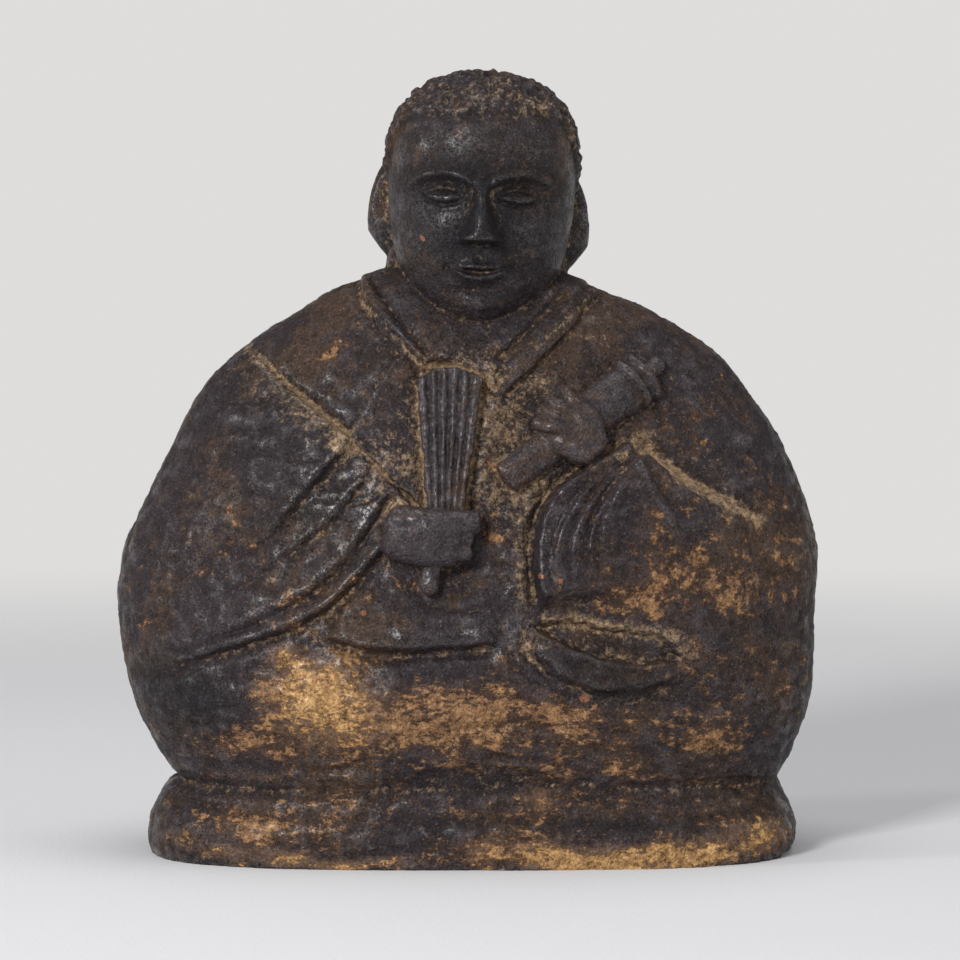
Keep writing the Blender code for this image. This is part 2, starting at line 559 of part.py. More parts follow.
def fan():
    """The closed fan, upright against the chest."""
    rows, columns = round(50 * CUT / GRAIN), round(90 * CUT / GRAIN)
    angle = np.arange(columns) * 2 * math.pi / columns
    across = np.cos(angle)
    deep = np.sign(np.sin(angle)) * (1 - across**8) ** (1 / 8) * FAN_THICKNESS / 2
    ribs = (0.5 + 0.5 * np.cos(across * math.pi * FAN_RIBS)) ** 1.5 * ease((1 - np.abs(across)) / 0.16)
    deep = np.where(deep < 0, deep + RIB_DEPTH * ribs, deep)
    grid = []
    for share in np.linspace(0, 1, rows):
        left = FAN_FOOT[0][0] + share * (FAN_TOP[0][0] - FAN_FOOT[0][0])
        right = FAN_FOOT[1][0] + share * (FAN_TOP[-1][0] - FAN_FOOT[1][0])
        level = FAN_FOOT[0][1] + share * (FAN_TOP[0][1] - FAN_FOOT[0][1])
        half = (right - left) * WIDTH / 2
        centre = on_front(((left + right) / 2, level), (FAN_RELIEF - FAN_THICKNESS / 2) / CUT)
        arch = share**6 * (1 - across**2) * (FAN_TOP[2][1] - FAN_TOP[0][1]) * HEIGHT
        grid.append(np.column_stack([centre[0] + half * across, centre[1] + deep, centre[2] + arch]))
    return solid_from("fan", np.array(grid))


def right_hand():
    """The fist round the fan: the back of the hand, the ends of the four fingers, and the fan's pivot end."""
    yield swept(
        "fist",
        [on_front(p, 1.6) for p in [(-0.104, 0.424), (-0.060, 0.418), (-0.024, 0.416)]],
        [9.0 * CUT, 9.8 * CUT, 9.4 * CUT],
        flat=0.82,
        power=2.9,
        blunt=0.45,
    )
    for number, (start, end, size) in enumerate([
        ((-0.030, 0.4370), (0.009, 0.4370), 3.7), ((-0.030, 0.4165), (0.001, 0.4170), 2.5),
        ((-0.030, 0.4000), (-0.002, 0.4010), 2.7),
    ]):
        path = [on_front(start, 5.0), on_front(end, 4.6)]
        yield swept(f"finger_block_{number}", path, [size * CUT] * 2, power=3.2, blunt=0.5)
    yield swept(
        "fan_handle",
        [on_front(p, 1.6) for p in [(-0.045, 0.420), (-0.053, 0.380), (-0.057, 0.358)]],
        [2.6 * CUT, 2.8 * CUT, 3.4 * CUT],
        flat=0.8,
    )


def left_hand():
    """The scroll, the hand on it, its four fingers and its thumb."""
    yield swept(
        "scroll",
        [on_front(p, 2.0) for p in [(0.053, 0.492), (0.100, 0.523), (0.180, 0.575), (0.240, 0.612)]],
        [0.68 * SCROLL_RADIUS, 0.72 * SCROLL_RADIUS, 0.95 * SCROLL_RADIUS, SCROLL_RADIUS],
        flat=0.75,
        blunt=0.35,
    )
    for place in (0.0, 0.55):
        start = (0.224 + 0.024 * place, 0.602 + 0.016 * place)
        yield swept(
            f"scroll_ring_{place}",
            [on_front(start, 2.0), on_front((start[0] + 0.006, start[1] + 0.004), 2.0)],
            [1.15 * SCROLL_RADIUS] * 2,
            flat=0.78,
            blunt=0.12,
        )
    yield swept(
        "scroll_knob",
        [on_front(p, 0.8) for p in [(0.240, 0.612), (0.264, 0.628)]],
        [SCROLL_KNOB_RADIUS] * 2,
        blunt=0.7,
    )
    yield swept(
        "palm",
        [on_front(p, 4.6) for p in [(0.170, 0.532), (0.157, 0.555), (0.151, 0.570)]],
        [7.4 * CUT, 8.6 * CUT, 6.6 * CUT],
        flat=0.62,
        power=2.4,
        blunt=0.8,
    )
    tips = [(0.087, 0.566), (0.099, 0.583), (0.113, 0.598), (0.138, 0.608)]
    roots = [(0.130, 0.553), (0.134, 0.563), (0.141, 0.572), (0.153, 0.580)]
    for number, (root, tip) in enumerate(zip(roots, tips)):
        middle = (0.45 * root[0] + 0.55 * tip[0], 0.45 * root[1] + 0.55 * tip[1])
        steps = [(root, 7.4), (middle, 8.4), (tip, 6.6)]
        yield swept(
            f"grip_{number}", [on_front(*step) for step in steps], [0.76 * FINGER_RADIUS] * 3, blunt=0.7
        )
    steps = [((0.160, 0.520), 5.6), ((0.122, 0.535), 6.0), ((0.094, 0.560), 4.6)]
    yield swept("grip_thumb", [on_front(*step) for step in steps], [4.0 * CUT, 3.6 * CUT, 2.8 * CUT])


def neck():
    """The short broad neck, behind the jaw and between the ears."""
    path = [(HEAD_RIGHT - 0.2 * CUT, 2.0 * CUT, level * HEIGHT) for level in (0.70, 0.74, 0.775)]
    return swept("neck", path, [30.5 * CUT, 30.5 * CUT, 29.5 * CUT], flat=0.72, power=2.2, blunt=0.25)


def from_neck(place):
    """The direction out of the neck at a place on the collar."""
    return ((place[0] - HEAD_RIGHT) / (40 * CUT), place[1] / (33 * CUT), 0.4)


def collar():
    """The collar's band, from the chest over one shoulder, round the neck and down to the chest."""
    left = [(-0.066, 0.630), (-0.100, 0.664), (-0.127, 0.695)]
    right = [(0.146, 0.700), (0.104, 0.660), (0.060, 0.621), (0.038, 0.604)]
    neck = [
        (-0.128, 0.731, -0.010), (-0.090, 0.742, 0.070), (0.010, 0.748, 0.104), (0.112, 0.742, 0.070),
        (0.138, 0.727, -0.010),
    ]
    path = [on_front(place, 0.2) for place in left]
    path += [(x * WIDTH, y * HEIGHT, z * HEIGHT) for x, z, y in neck]
    path += [on_front(place, 0.2) for place in right]
    return swept("collar", path, [COLLAR_WIDTH] * len(path), flat=0.55, around=from_neck, power=2.6)


def use(target, kind, **settings):
    """Adds a modifier to the object, the same in the viewport and in a render."""
    made = target.modifiers.new(kind.lower(), kind)
    for name, value in settings.items():
        setattr(made, name, value)
    return made


def joined(name, shapes):
    """The shapes as one object, still overlapping, with its middle over the origin."""
    combined = bmesh.new()
    for shape in shapes:
        combined.from_mesh(shape.data)
    low = [min(corner.co[axis] for corner in combined.verts) for axis in range(2)]
    high = [max(corner.co[axis] for corner in combined.verts) for axis in range(2)]
    middle = [(start + end) / 2 for start, end in zip(low, high)]
    bmesh.ops.translate(combined, verts=combined.verts, vec=(-middle[0], -middle[1], 0))
    mesh = bpy.data.meshes.new(name)
    combined.to_mesh(mesh)
    combined.free()
    for shape in shapes:
        bpy.data.objects.remove(shape)
    made = bpy.data.objects.new(name, mesh)
    bpy.context.scene.collection.objects.link(made)
    return made


def stone():
    """Dark worn stone."""
    made = bpy.data.materials.new("stone")
    made.use_nodes = True
    shader = made.node_tree.nodes["Principled BSDF"]
    shader.inputs["Base Color"].default_value = (0.045, 0.036, 0.031, 1)
    shader.inputs["Roughness"].default_value = 0.55
    shader.inputs["Metallic"].default_value = 0.0
    return made


def sawn_flat(figure):
    """Cuts the figure level with the ground, so that it stands on a true plane."""
    bed = bpy.data.meshes.new("saw_bed")
    block = bmesh.new()
    bmesh.ops.create_cube(block, size=1.0)
    for corner in block.verts:
        corner.co.x *= 2 * WIDTH
        corner.co.y *= 2 * DEPTH
        corner.co.z = (corner.co.z - 0.5) * 10 * SAW_DEPTH
    block.to_mesh(bed)
    block.free()
    saw = bpy.data.objects.new("saw_bed", bed)
    bpy.context.scene.collection.objects.link(saw)
    saw.hide_render = True
    saw.display_type = "WIRE"
    use(figure, "BOOLEAN", operation="DIFFERENCE", solver="EXACT", object=saw)


def main():
    for old in list(bpy.data.objects):
        bpy.data.objects.remove(old)
    shapes = [carved_block(), carved_head(), carved_ear(-1), carved_ear(1), neck(), collar()]
    shapes += [fan(), *right_hand(), *left_hand()]
    figure = joined("seated_monk", shapes)
    use(figure, "REMESH", mode="VOXEL", voxel_size=GRAIN)
    use(figure, "SMOOTH", factor=0.5, iterations=2)
    use(figure, "DECIMATE", ratio=FACETS / 245000)
    sawn_flat(figure)
    figure.data.materials.append(stone())


main()
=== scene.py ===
# %% [markdown]
# # A monk carved from one stone
#
# This lesson dresses a solid that was made elsewhere. The solid gives the true size, place and outline of a
# small seated figure, cut from a single block of stone. Here the same figure is carved again with a much
# finer chisel, and then gets what a few hundred years have left on it: a dark skin, dust in the hollows,
# and bare stone where it was handled. The solid comes in first, because every size is taken from it.

# %% Load the solid and keep its size
import math

import bpy
import numpy as np
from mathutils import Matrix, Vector


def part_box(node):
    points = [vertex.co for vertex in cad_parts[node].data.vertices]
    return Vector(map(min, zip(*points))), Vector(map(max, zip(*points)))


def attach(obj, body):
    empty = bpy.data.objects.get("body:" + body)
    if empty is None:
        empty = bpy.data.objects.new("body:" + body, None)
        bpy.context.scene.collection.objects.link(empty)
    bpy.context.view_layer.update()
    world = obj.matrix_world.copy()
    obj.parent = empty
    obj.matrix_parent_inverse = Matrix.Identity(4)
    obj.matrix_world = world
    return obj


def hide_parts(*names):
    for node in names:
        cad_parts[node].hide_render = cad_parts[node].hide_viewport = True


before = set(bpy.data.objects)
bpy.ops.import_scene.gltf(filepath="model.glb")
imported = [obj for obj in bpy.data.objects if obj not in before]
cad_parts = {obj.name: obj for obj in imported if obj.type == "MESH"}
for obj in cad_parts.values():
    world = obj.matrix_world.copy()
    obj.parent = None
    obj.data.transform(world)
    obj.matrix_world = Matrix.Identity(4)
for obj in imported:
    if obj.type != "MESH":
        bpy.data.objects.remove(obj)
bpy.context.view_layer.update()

LOW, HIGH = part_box("seated_monk")
print("the solid is", [round(1000 * side) for side in HIGH - LOW], "mm")

# %% [markdown]
# ## Sizes
#
# A carver works with shares: the sleeve turns at half the height, the hem at a tenth. So every place on the
# figure is written as a share of its width or height, and a depth of carving is written in cuts. One cut
# is a millimetre on a figure 26 cm high. Only what can be set by itself is a length of its own.

# %% Name the sizes
HEIGHT = 0.260
WIDTH = 0.234
DEPTH = 0.120
CUT = HEIGHT / 260

HEAD_WIDTH = 0.062
HEAD_HEIGHT = 0.083
HEAD_DEPTH = 0.072
HEAD_RIGHT = 0.0024
HEAD_FORWARD = 0.0075
HEAD_LEAN = math.radians(2.0)
EAR_HEIGHT = 0.0360
EAR_WIDTH = 0.0165
EAR_THICKNESS = 0.0060
EAR_FLARE = math.radians(56)
HAIR_HEIGHT = 0.0012
FAN_RELIEF = 0.0055
FAN_THICKNESS = 0.0085
FAN_RIBS = 6
RIB_DEPTH = 0.0016
SCROLL_RADIUS = 0.0082
SCROLL_KNOB_RADIUS = 0.0032
FINGER_RADIUS = 0.0027
CLOTH_EDGE = 0.0040
CLOTH_SOFTNESS = 0.0009
COLLAR_RELIEF = 0.0024
COLLAR_WIDTH = 0.0034

GRAIN = 0.0005
print("grain of the carving:", 1000 * GRAIN, "mm")

# %% [markdown]
# ## Curves and cuts
#
# A few helpers stand in for the carver's tools. One draws a smooth line through a handful of places. One
# measures how far every point of the surface is from that line and on which side of it. From that
# distance come all the cuts: a groove, the edge of a layer of cloth, a soft swelling.

# %% Draw smooth lines
def curve_through(points, steps=8):
    """Points on a smooth curve that passes through the given ones."""
    given = np.array(points, float)
    given = np.vstack([2 * given[0] - given[1], given, 2 * given[-1] - given[-2]])
    t = np.linspace(0, 1, steps, endpoint=False)[:, None]
    spans = []
    for a, b, c, d in zip(given, given[1:], given[2:], given[3:]):
        spans.append(b + 0.5 * t * (c - a + t * (2 * a - 5 * b + 4 * c - d + t * (3 * (b - c) + d - a))))
    return np.vstack([*spans, given[-2]])


def read_off(profile, places):
    """The smooth profile's value at each place."""
    curve = curve_through(profile)
    return np.interp(places, curve[:, 0], curve[:, 1])


def ease(t):
    """0 up to t = 0 and 1 from t = 1, with a smooth rise between."""
    t = np.clip(t, 0, 1)
    return t * t * (3 - 2 * t)


def drawn(*runs):
    """A line on the front in metres: smooth runs of places given in shares, joined at sharp corners."""
    return np.vstack([curve_through(run) * (WIDTH, HEIGHT) for run in runs])


print("a curve through three places has", len(curve_through([(0, 0), (1, 1), (2, 0)])), "points")

# %% Measure from a line
def measure(line, x, z):
    """How far each (x, z) is from the line, positive on its left, and its share of the way along."""
    nearest = np.full(x.shape, np.inf)
    aside = np.zeros(x.shape)
    share = np.zeros(x.shape)
    spans = np.diff(line, axis=0)
    lengths = np.hypot(*spans.T)
    done = 0.0
    for (ax, az), (dx, dz), length in zip(line, spans, lengths):
        if length < 1e-7:
            continue
        along = ((x - ax) * dx + (z - az) * dz) / length**2
        off = (dx * (z - az) - dz * (x - ax)) / length
        t = np.clip(along, 0, 1)
        gap = np.hypot(x - ax - t * dx, z - az - t * dz)
        # Two spans meet at the nearest corner of many places. The one seen more from its side decides.
        better = (gap < nearest - 1e-9) | ((gap < nearest + 1e-9) & (np.abs(off) > np.abs(aside)))
        nearest = np.where(better, gap, nearest)
        aside = np.where(better, off, aside)
        share = np.where(better, (done + t * length) / lengths.sum(), share)
        done += length
    return nearest * np.where(aside < 0, -1, 1), share


def faded(share, start=0.12, end=0.12):
    """1 along a line, easing to 0 at its two ends."""
    return ease(share / start) * ease((1 - share) / end)


beside, _ = measure(np.array([(0, 0), (1, 0)]), np.array([0.5]), np.array([CUT]))
print("a place just above a level line is", round(1000 * float(beside[0]), 1), "mm to its left")

# %% Make the cuts
def crease(x, z, line, depth=1.6, width=1.7, ends=(0.12, 0.12)):
    """A groove along the line, in cuts. A negative depth raises a ridge."""
    away, share = measure(line, x, z)
    return -depth * CUT * np.exp(-((away / (width * CUT)) ** 2)) * faded(share, *ends)


def layer(x, z, line, height=1.0, reach=22, softness=1.0, ends=(0.1, 0.1)):
    """A layer of cloth on the line's left: a steep edge that sinks back to the block over its reach."""
    away, share = measure(line, x, z)
    soft = softness * CLOTH_SOFTNESS
    rise = ease(away / soft / 2 + 0.5) * np.exp(-((np.maximum(away, 0) / (reach * CUT)) ** 2))
    rolled = 0.12 * np.exp(-(((away - 1.8 * soft) / (1.2 * soft)) ** 2))
    shadow = 0.2 * np.exp(-(((away + 2 * soft) / (1.8 * soft)) ** 2))
    return height * CLOTH_EDGE * (rise + rolled - shadow) * faded(share, *ends)


def plate(x, z, outline, height, softness=1.0):
    """A raised flat shape, in cuts, inside a closed outline that runs anticlockwise."""
    away, _ = measure(outline, x, z)
    return height * CUT * ease(away / (softness * CLOTH_SOFTNESS) / 2 + 0.5)


def mound(x, z, centre, radii, height, turn=0.0):
    """A soft oval swelling, its radii and height in cuts. A negative height hollows the surface."""
    dx, dz = x - centre[0] * WIDTH, z - centre[1] * HEIGHT
    along = (dx * math.cos(turn) + dz * math.sin(turn)) / (radii[0] * CUT)
    across = (dz * math.cos(turn) - dx * math.sin(turn)) / (radii[1] * CUT)
    return height * CUT * np.exp(-1.6 * (along**2 + across**2))


def ripple(places, size, seed, waves=40):
    """A smooth random swell over the places, mostly from -1 to 1, with features of about that size."""
    picker = np.random.default_rng(seed)
    headings = picker.normal(size=(waves, 3))
    headings /= np.linalg.norm(headings, axis=1, keepdims=True)
    headings *= 2 * math.pi / size * picker.uniform(0.6, 1.4, (waves, 1))
    starts = picker.uniform(0, 2 * math.pi, waves)
    total = np.zeros(places.shape[:-1])
    for heading, start in zip(headings, starts):
        total += np.cos(places @ heading + start)
    return total / math.sqrt(waves)


print("a whole layer of cloth stands", 1000 * CLOTH_EDGE, "mm up")

# %% [markdown]
# ## From rings to a skin
#
# Every part of the figure is a stack of rings: the block, the head, an ear, a finger. A flat grid of faces
# is added and rolled up, so that each row of it becomes one ring. Its two long edges meet and are merged,
# and the open ends are filled. That keeps the shape closed, which the later steps need.

# %% Roll a grid into a skin
def ring(left, right, front, back, power, count):
    """One level of a block: an oval with its own reach to each side, from the middle of its right side."""
    angle = np.arange(count) * 2 * math.pi / count
    across, along = np.cos(angle), np.sin(angle)
    x = np.sign(across) * np.abs(across) ** (2 / power) * np.where(across < 0, left, right)
    y = np.sign(along) * np.abs(along) ** (2 / power) * np.where(along < 0, front, back)
    return x, y


def outward(grid):
    """The outward normals of a grid of rings that run anticlockwise, seen from above, going up."""
    round_it = np.roll(grid, -1, axis=1) - np.roll(grid, 1, axis=1)
    normals = np.cross(round_it, np.gradient(grid, axis=0))
    return normals / np.maximum(np.linalg.norm(normals, axis=2, keepdims=True), 1e-12)


def skin(name, grid):
    """A closed object whose skin runs over the rings."""
    rows, columns, _ = grid.shape
    bpy.ops.object.select_all(action="DESELECT")
    bpy.ops.mesh.primitive_grid_add(x_subdivisions=columns, y_subdivisions=rows - 1, size=HEIGHT)
    made = bpy.context.object
    made.name = made.data.name = name
    rolled = np.concatenate([grid, grid[:, :1]], axis=1)
    made.data.vertices.foreach_set("co", rolled.astype(np.float32).ravel())
    bpy.ops.object.mode_set(mode="EDIT")
    bpy.ops.mesh.select_all(action="SELECT")
    bpy.ops.mesh.remove_doubles(threshold=1e-7)
    bpy.ops.mesh.fill_holes(sides=0)
    bpy.ops.object.mode_set(mode="OBJECT")
    return made


print("a round ring of four places reaches", ring(1, 1, 1, 1, 2.0, 4)[0].round(2).tolist(), "across")

# %% [markdown]
# ## The block
#
# Before any carving the figure is a squat, slightly lopsided block: narrow at the neck, widest at the
# elbows, with a waist just above its low foot. The lists give its half width on each side and its reach to
# the front and back at each level, all as shares.

# %% Give the block its outline
OUTLINE_LEFT = [
    (-0.03, 0.448), (0.0, 0.456), (0.022, 0.461), (0.048, 0.456), (0.074, 0.442), (0.086, 0.429),
    (0.094, 0.415), (0.103, 0.416), (0.126, 0.442),
    (0.203, 0.484), (0.306, 0.503), (0.358, 0.501), (0.409, 0.486), (0.512, 0.430), (0.590, 0.385),
    (0.641, 0.330), (0.693, 0.244), (0.719, 0.198), (0.740, 0.136), (0.760, 0.092),
]
OUTLINE_RIGHT = [
    (-0.03, 0.446), (0.0, 0.458), (0.022, 0.466), (0.048, 0.463), (0.074, 0.449), (0.088, 0.442),
    (0.096, 0.440), (0.106, 0.446), (0.126, 0.459),
    (0.203, 0.489), (0.306, 0.493), (0.358, 0.496), (0.409, 0.493), (0.512, 0.452), (0.590, 0.396),
    (0.641, 0.348), (0.693, 0.257), (0.719, 0.188), (0.740, 0.132), (0.760, 0.090),
]
REACH_FRONT = [
    (-0.03, 0.492), (0.0, 0.496), (0.03, 0.500), (0.060, 0.493), (0.085, 0.476), (0.105, 0.470),
    (0.15, 0.490), (0.20, 0.506), (0.30, 0.480), (0.40, 0.436), (0.50, 0.388), (0.60, 0.326),
    (0.66, 0.278), (0.70, 0.230), (0.74, 0.165), (0.76, 0.120),
]
REACH_BACK = [
    (-0.03, 0.425), (0.0, 0.433), (0.03, 0.444), (0.075, 0.407), (0.10, 0.412), (0.20, 0.466),
    (0.30, 0.488), (0.40, 0.488), (0.50, 0.466), (0.60, 0.405), (0.66, 0.350), (0.70, 0.290),
    (0.74, 0.205), (0.76, 0.150),
]
SQUARENESS = [(-0.03, 3.1), (0.07, 3.0), (0.13, 2.6), (0.30, 2.35), (0.60, 2.15), (0.76, 2.0)]


def front_of_block(x, z):
    """The y of the plain block's front at each (x, z)."""
    level = np.asarray(z) / HEIGHT
    left, right = read_off(OUTLINE_LEFT, level), read_off(OUTLINE_RIGHT, level)
    half = np.where(np.asarray(x) < 0, left, right) * WIDTH
    power = read_off(SQUARENESS, level)
    across = np.clip(np.abs(x) / half, 0, 0.999)
    return -read_off(REACH_FRONT, level) * DEPTH * (1 - across**power) ** (1 / power)


def on_front(place, lift):
    """The 3D place that stands out by lift cuts from the block, above a place given in shares."""
    x, z = place[0] * WIDTH, place[1] * HEIGHT
    return (x, float(front_of_block(np.array([x]), np.array([z]))[0]) - lift * CUT, z)


elbows = WIDTH * (OUTLINE_LEFT[10][1] + OUTLINE_RIGHT[10][1])
print("the block is", round(1000 * elbows), "mm wide at the elbows")

# %% [markdown]
# ## The robe
#
# The robe is low relief: few of its cuts go deeper than five millimetres. Each line below is one that the
# carver cut, drawn as places in shares. Where a sleeve hangs over another layer the line is the edge of the
# upper one, so the cloth stands up on one side only.

# %% Draw the sleeve on the left
ARM_EDGE = drawn(
    [(-0.37, 0.358), (-0.273, 0.419), (-0.186, 0.508), (-0.159, 0.535)],
    [(-0.161, 0.533), (-0.208, 0.567), (-0.260, 0.604), (-0.320, 0.652), (-0.390, 0.712)],
)
ARM_FURROW = drawn([(-0.168, 0.538), (-0.208, 0.568), (-0.260, 0.606), (-0.325, 0.656)])
SECOND_EDGE = drawn(
    [(-0.321, 0.350), (-0.207, 0.424), (-0.160, 0.471), (-0.134, 0.508)],
    [(-0.134, 0.508), (-0.161, 0.535)],
)
THIRD_EDGE = drawn(
    [(-0.443, 0.252), (-0.288, 0.311), (-0.191, 0.365), (-0.124, 0.444), (-0.103, 0.472)],
    [(-0.103, 0.474), (-0.134, 0.508)],
)
CUFF_EDGE = drawn(
    [(-0.443, 0.243), (-0.294, 0.288), (-0.201, 0.327), (-0.124, 0.397), (-0.086, 0.459)],
    [(-0.087, 0.460), (-0.106, 0.484)],
)
CUFF_LINE = drawn([(-0.443, 0.256), (-0.288, 0.312), (-0.191, 0.366), (-0.124, 0.445), (-0.101, 0.476)])
print("the sleeve's edge is", round(1000 * float(np.hypot(*np.diff(ARM_EDGE, axis=0).T).sum())), "mm long")

# %% Draw the sleeve on the right, with its open mouth
HANGING_EDGE = drawn(
    [(0.227, 0.534), (0.155, 0.499), (0.112, 0.465), (0.095, 0.425), (0.091, 0.387), (0.099, 0.325)]
)
HANGING_SECOND = drawn([(0.248, 0.523), (0.205, 0.482), (0.183, 0.439), (0.178, 0.411), (0.189, 0.351)])
HANGING_FOLDS = [
    drawn([(0.200, 0.506), (0.148, 0.462), (0.117, 0.405), (0.118, 0.345)]),
    drawn([(0.205, 0.500), (0.160, 0.452), (0.140, 0.405), (0.143, 0.352)]),
    drawn([(0.212, 0.496), (0.178, 0.452), (0.162, 0.405), (0.166, 0.360)]),
]
ARM_VALLEY = drawn([(0.420, 0.426), (0.378, 0.448), (0.336, 0.467), (0.290, 0.493), (0.236, 0.528)])
POCKET = drawn(
    [(0.093, 0.306), (0.120, 0.289), (0.170, 0.269), (0.211, 0.260), (0.250, 0.257), (0.292, 0.264)],
    [(0.292, 0.265), (0.267, 0.290), (0.231, 0.298), (0.179, 0.305), (0.128, 0.314), (0.093, 0.308)],
)
POCKET_LIP = drawn([
    (0.098, 0.298), (0.128, 0.285), (0.170, 0.267), (0.211, 0.258), (0.250, 0.256), (0.288, 0.262),
])
POCKET_FOLD = drawn([
    (0.088, 0.312), (0.090, 0.285), (0.103, 0.262), (0.135, 0.240), (0.180, 0.224), (0.240, 0.226),
    (0.303, 0.250),
])
POCKET_CREASES = [
    drawn([(0.046, 0.290), (0.067, 0.255), (0.110, 0.228)]),
    drawn([(0.066, 0.295), (0.088, 0.263), (0.125, 0.236)]),
]
POCKET_HEM = drawn([(0.155, 0.197), (0.206, 0.212), (0.262, 0.227)])
print("the sleeve's mouth is", round(1000 * float(np.ptp(POCKET[:, 0]))), "mm wide")

# %% Draw the belly, the lap and the hem
BELLY_SHELF = drawn([(-0.206, 0.297), (-0.185, 0.288), (-0.124, 0.277), (-0.051, 0.279), (0.046, 0.288)])
BELLY_ARC = drawn([(-0.078, 0.340), (-0.031, 0.327), (0.006, 0.327), (0.018, 0.340)])
BELLY_LINES = [
    drawn([(-0.190, 0.318 - drop), (-0.110, 0.305 - drop), (-0.030, 0.303 - drop), (0.050, 0.308 - drop)])
    for drop in (-0.007, 0.0, 0.007, 0.013)
]
KNEE_FOLD = drawn([(-0.206, 0.297), (-0.236, 0.274), (-0.283, 0.233)])
BASE_EDGE = drawn(
    [(-0.445, 0.101), (-0.257, 0.099), (-0.154, 0.104), (-0.078, 0.120), (0.0, 0.131), (0.076, 0.128)],
    [(0.076, 0.128), (0.128, 0.115), (0.236, 0.108), (0.360, 0.109), (0.450, 0.101)],
)
LAP_CREASES = [
    drawn([(-0.250, 0.128), (-0.196, 0.124), (-0.154, 0.135), (-0.110, 0.148)]),
    drawn([(-0.078, 0.169), (0.0, 0.183), (0.076, 0.188), (0.180, 0.173)]),
    drawn([(-0.020, 0.146), (0.076, 0.142), (0.140, 0.130)]),
]
RIM_CREASE = drawn(
    [(-0.440, 0.074), (-0.236, 0.066), (-0.051, 0.062), (0.103, 0.064), (0.257, 0.057), (0.436, 0.075)]
)
print("the hem rises", round(1000 * float(np.ptp(BASE_EDGE[:, 1]))), "mm in the middle")

# %% Draw the collars and the fan's place
COLLAR_EDGE = drawn(
    [(-0.156, 0.742), (-0.146, 0.706), (-0.114, 0.674), (-0.079, 0.641), (-0.062, 0.627)],
    [(-0.062, 0.627), (-0.029, 0.632), (0.006, 0.620), (0.035, 0.600)],
    [(0.037, 0.600), (0.062, 0.622), (0.104, 0.660), (0.146, 0.693), (0.185, 0.722)],
)
COLLAR_LINES = [
    drawn([(-0.138, 0.730), (-0.110, 0.693), (-0.079, 0.660), (-0.056, 0.636)]),
    drawn([(0.175, 0.729), (0.129, 0.688), (0.077, 0.646), (0.028, 0.610)]),
    drawn([(0.130, 0.718), (0.089, 0.679), (0.052, 0.648), (0.034, 0.634)]),
]
FAN_TOP = [(-0.074, 0.614), (-0.052, 0.627), (-0.029, 0.630), (-0.004, 0.626), (0.018, 0.612)]
FAN_FOOT = [(-0.058, 0.440), (-0.010, 0.440)]
FAN = drawn([FAN_TOP[0], FAN_FOOT[0]], FAN_FOOT, [FAN_FOOT[1], FAN_TOP[-1]], FAN_TOP[::-1])
print("the fan is", round(1000 * WIDTH * (FAN_TOP[-1][0] - FAN_TOP[0][0])), "mm wide at its top")

# %% Carve the arms, the knees and the sleeves
def masses(x, z):
    """The big soft forms: the arms inside the sleeves, the knees, and the hollow chest."""
    out = mound(x, z, (-0.275, 0.480), (40, 26), 3.4, turn=0.75)
    out += mound(x, z, (0.310, 0.375), (34, 40), 4.6)
    out += mound(x, z, (0.0, 0.40), (20, 40), -3.0)
    out += mound(x, z, (-0.340, 0.205), (26, 16), 2.2)
    out += mound(x, z, (0.340, 0.175), (30, 18), 1.8)
    out += mound(x, z, (-0.080, 0.215), (40, 14), 2.6)
    out += mound(x, z, (0.195, 0.243), (20, 6), 1.4)
    out += mound(x, z, (0.100, 0.570), (14, 15), -2.0)
    return out


def left_sleeve(x, z):
    """The nested edges of the sleeve on the left."""
    out = layer(x, z, ARM_EDGE, height=1.0, reach=36, ends=(0.50, 0.51))
    out += crease(x, z, ARM_FURROW, depth=1.8, width=2.6, ends=(0.1, 0.6))
    out += layer(x, z, SECOND_EDGE, height=0.42, reach=20, ends=(0.40, 0.02))
    out += layer(x, z, THIRD_EDGE, height=0.40, reach=16, ends=(0.45, 0.02))
    out += layer(x, z, CUFF_EDGE, height=0.80, reach=16, ends=(0.22, 0.02))
    out += crease(x, z, CUFF_LINE, width=1.3, ends=(0.35, 0.04))
    return out


def right_sleeve(x, z):
    """The hanging sleeve on the right, its folds, and its open mouth on the lap."""
    out = layer(x, z, HANGING_EDGE, height=1.4, reach=30, ends=(0.05, 0.08))
    out += crease(x, z, HANGING_EDGE - (2 * CLOTH_SOFTNESS, 0), depth=1.8, width=2.2, ends=(0.3, 0.1))
    out += layer(x, z, HANGING_SECOND, height=0.55, reach=20, ends=(0.03, 0.4))
    for fold in HANGING_FOLDS:
        out += layer(x, z, fold, height=0.44, reach=5, softness=0.55, ends=(0.3, 0.3))
    out += layer(x, z, ARM_VALLEY, height=0.6, reach=24, softness=2.2, ends=(0.4, 0.04))
    out += crease(x, z, ARM_VALLEY, depth=2.4, width=3.6, ends=(0.5, 0.04))
    out += layer(x, z, POCKET_FOLD, height=0.8, reach=14, softness=1.5, ends=(0.15, 0.15))
    out += plate(x, z, POCKET, -4.2, softness=1.3)
    out += crease(x, z, POCKET_LIP, depth=-1.3, width=1.1, ends=(0.1, 0.1))
    for fold in POCKET_CREASES:
        out += crease(x, z, fold, depth=1.0, width=1.1, ends=(0.2, 0.4))
    out += crease(x, z, POCKET_HEM, depth=-0.9, width=1.2, ends=(0.3, 0.3))
    return out


print("the sleeves' cuts are ready")

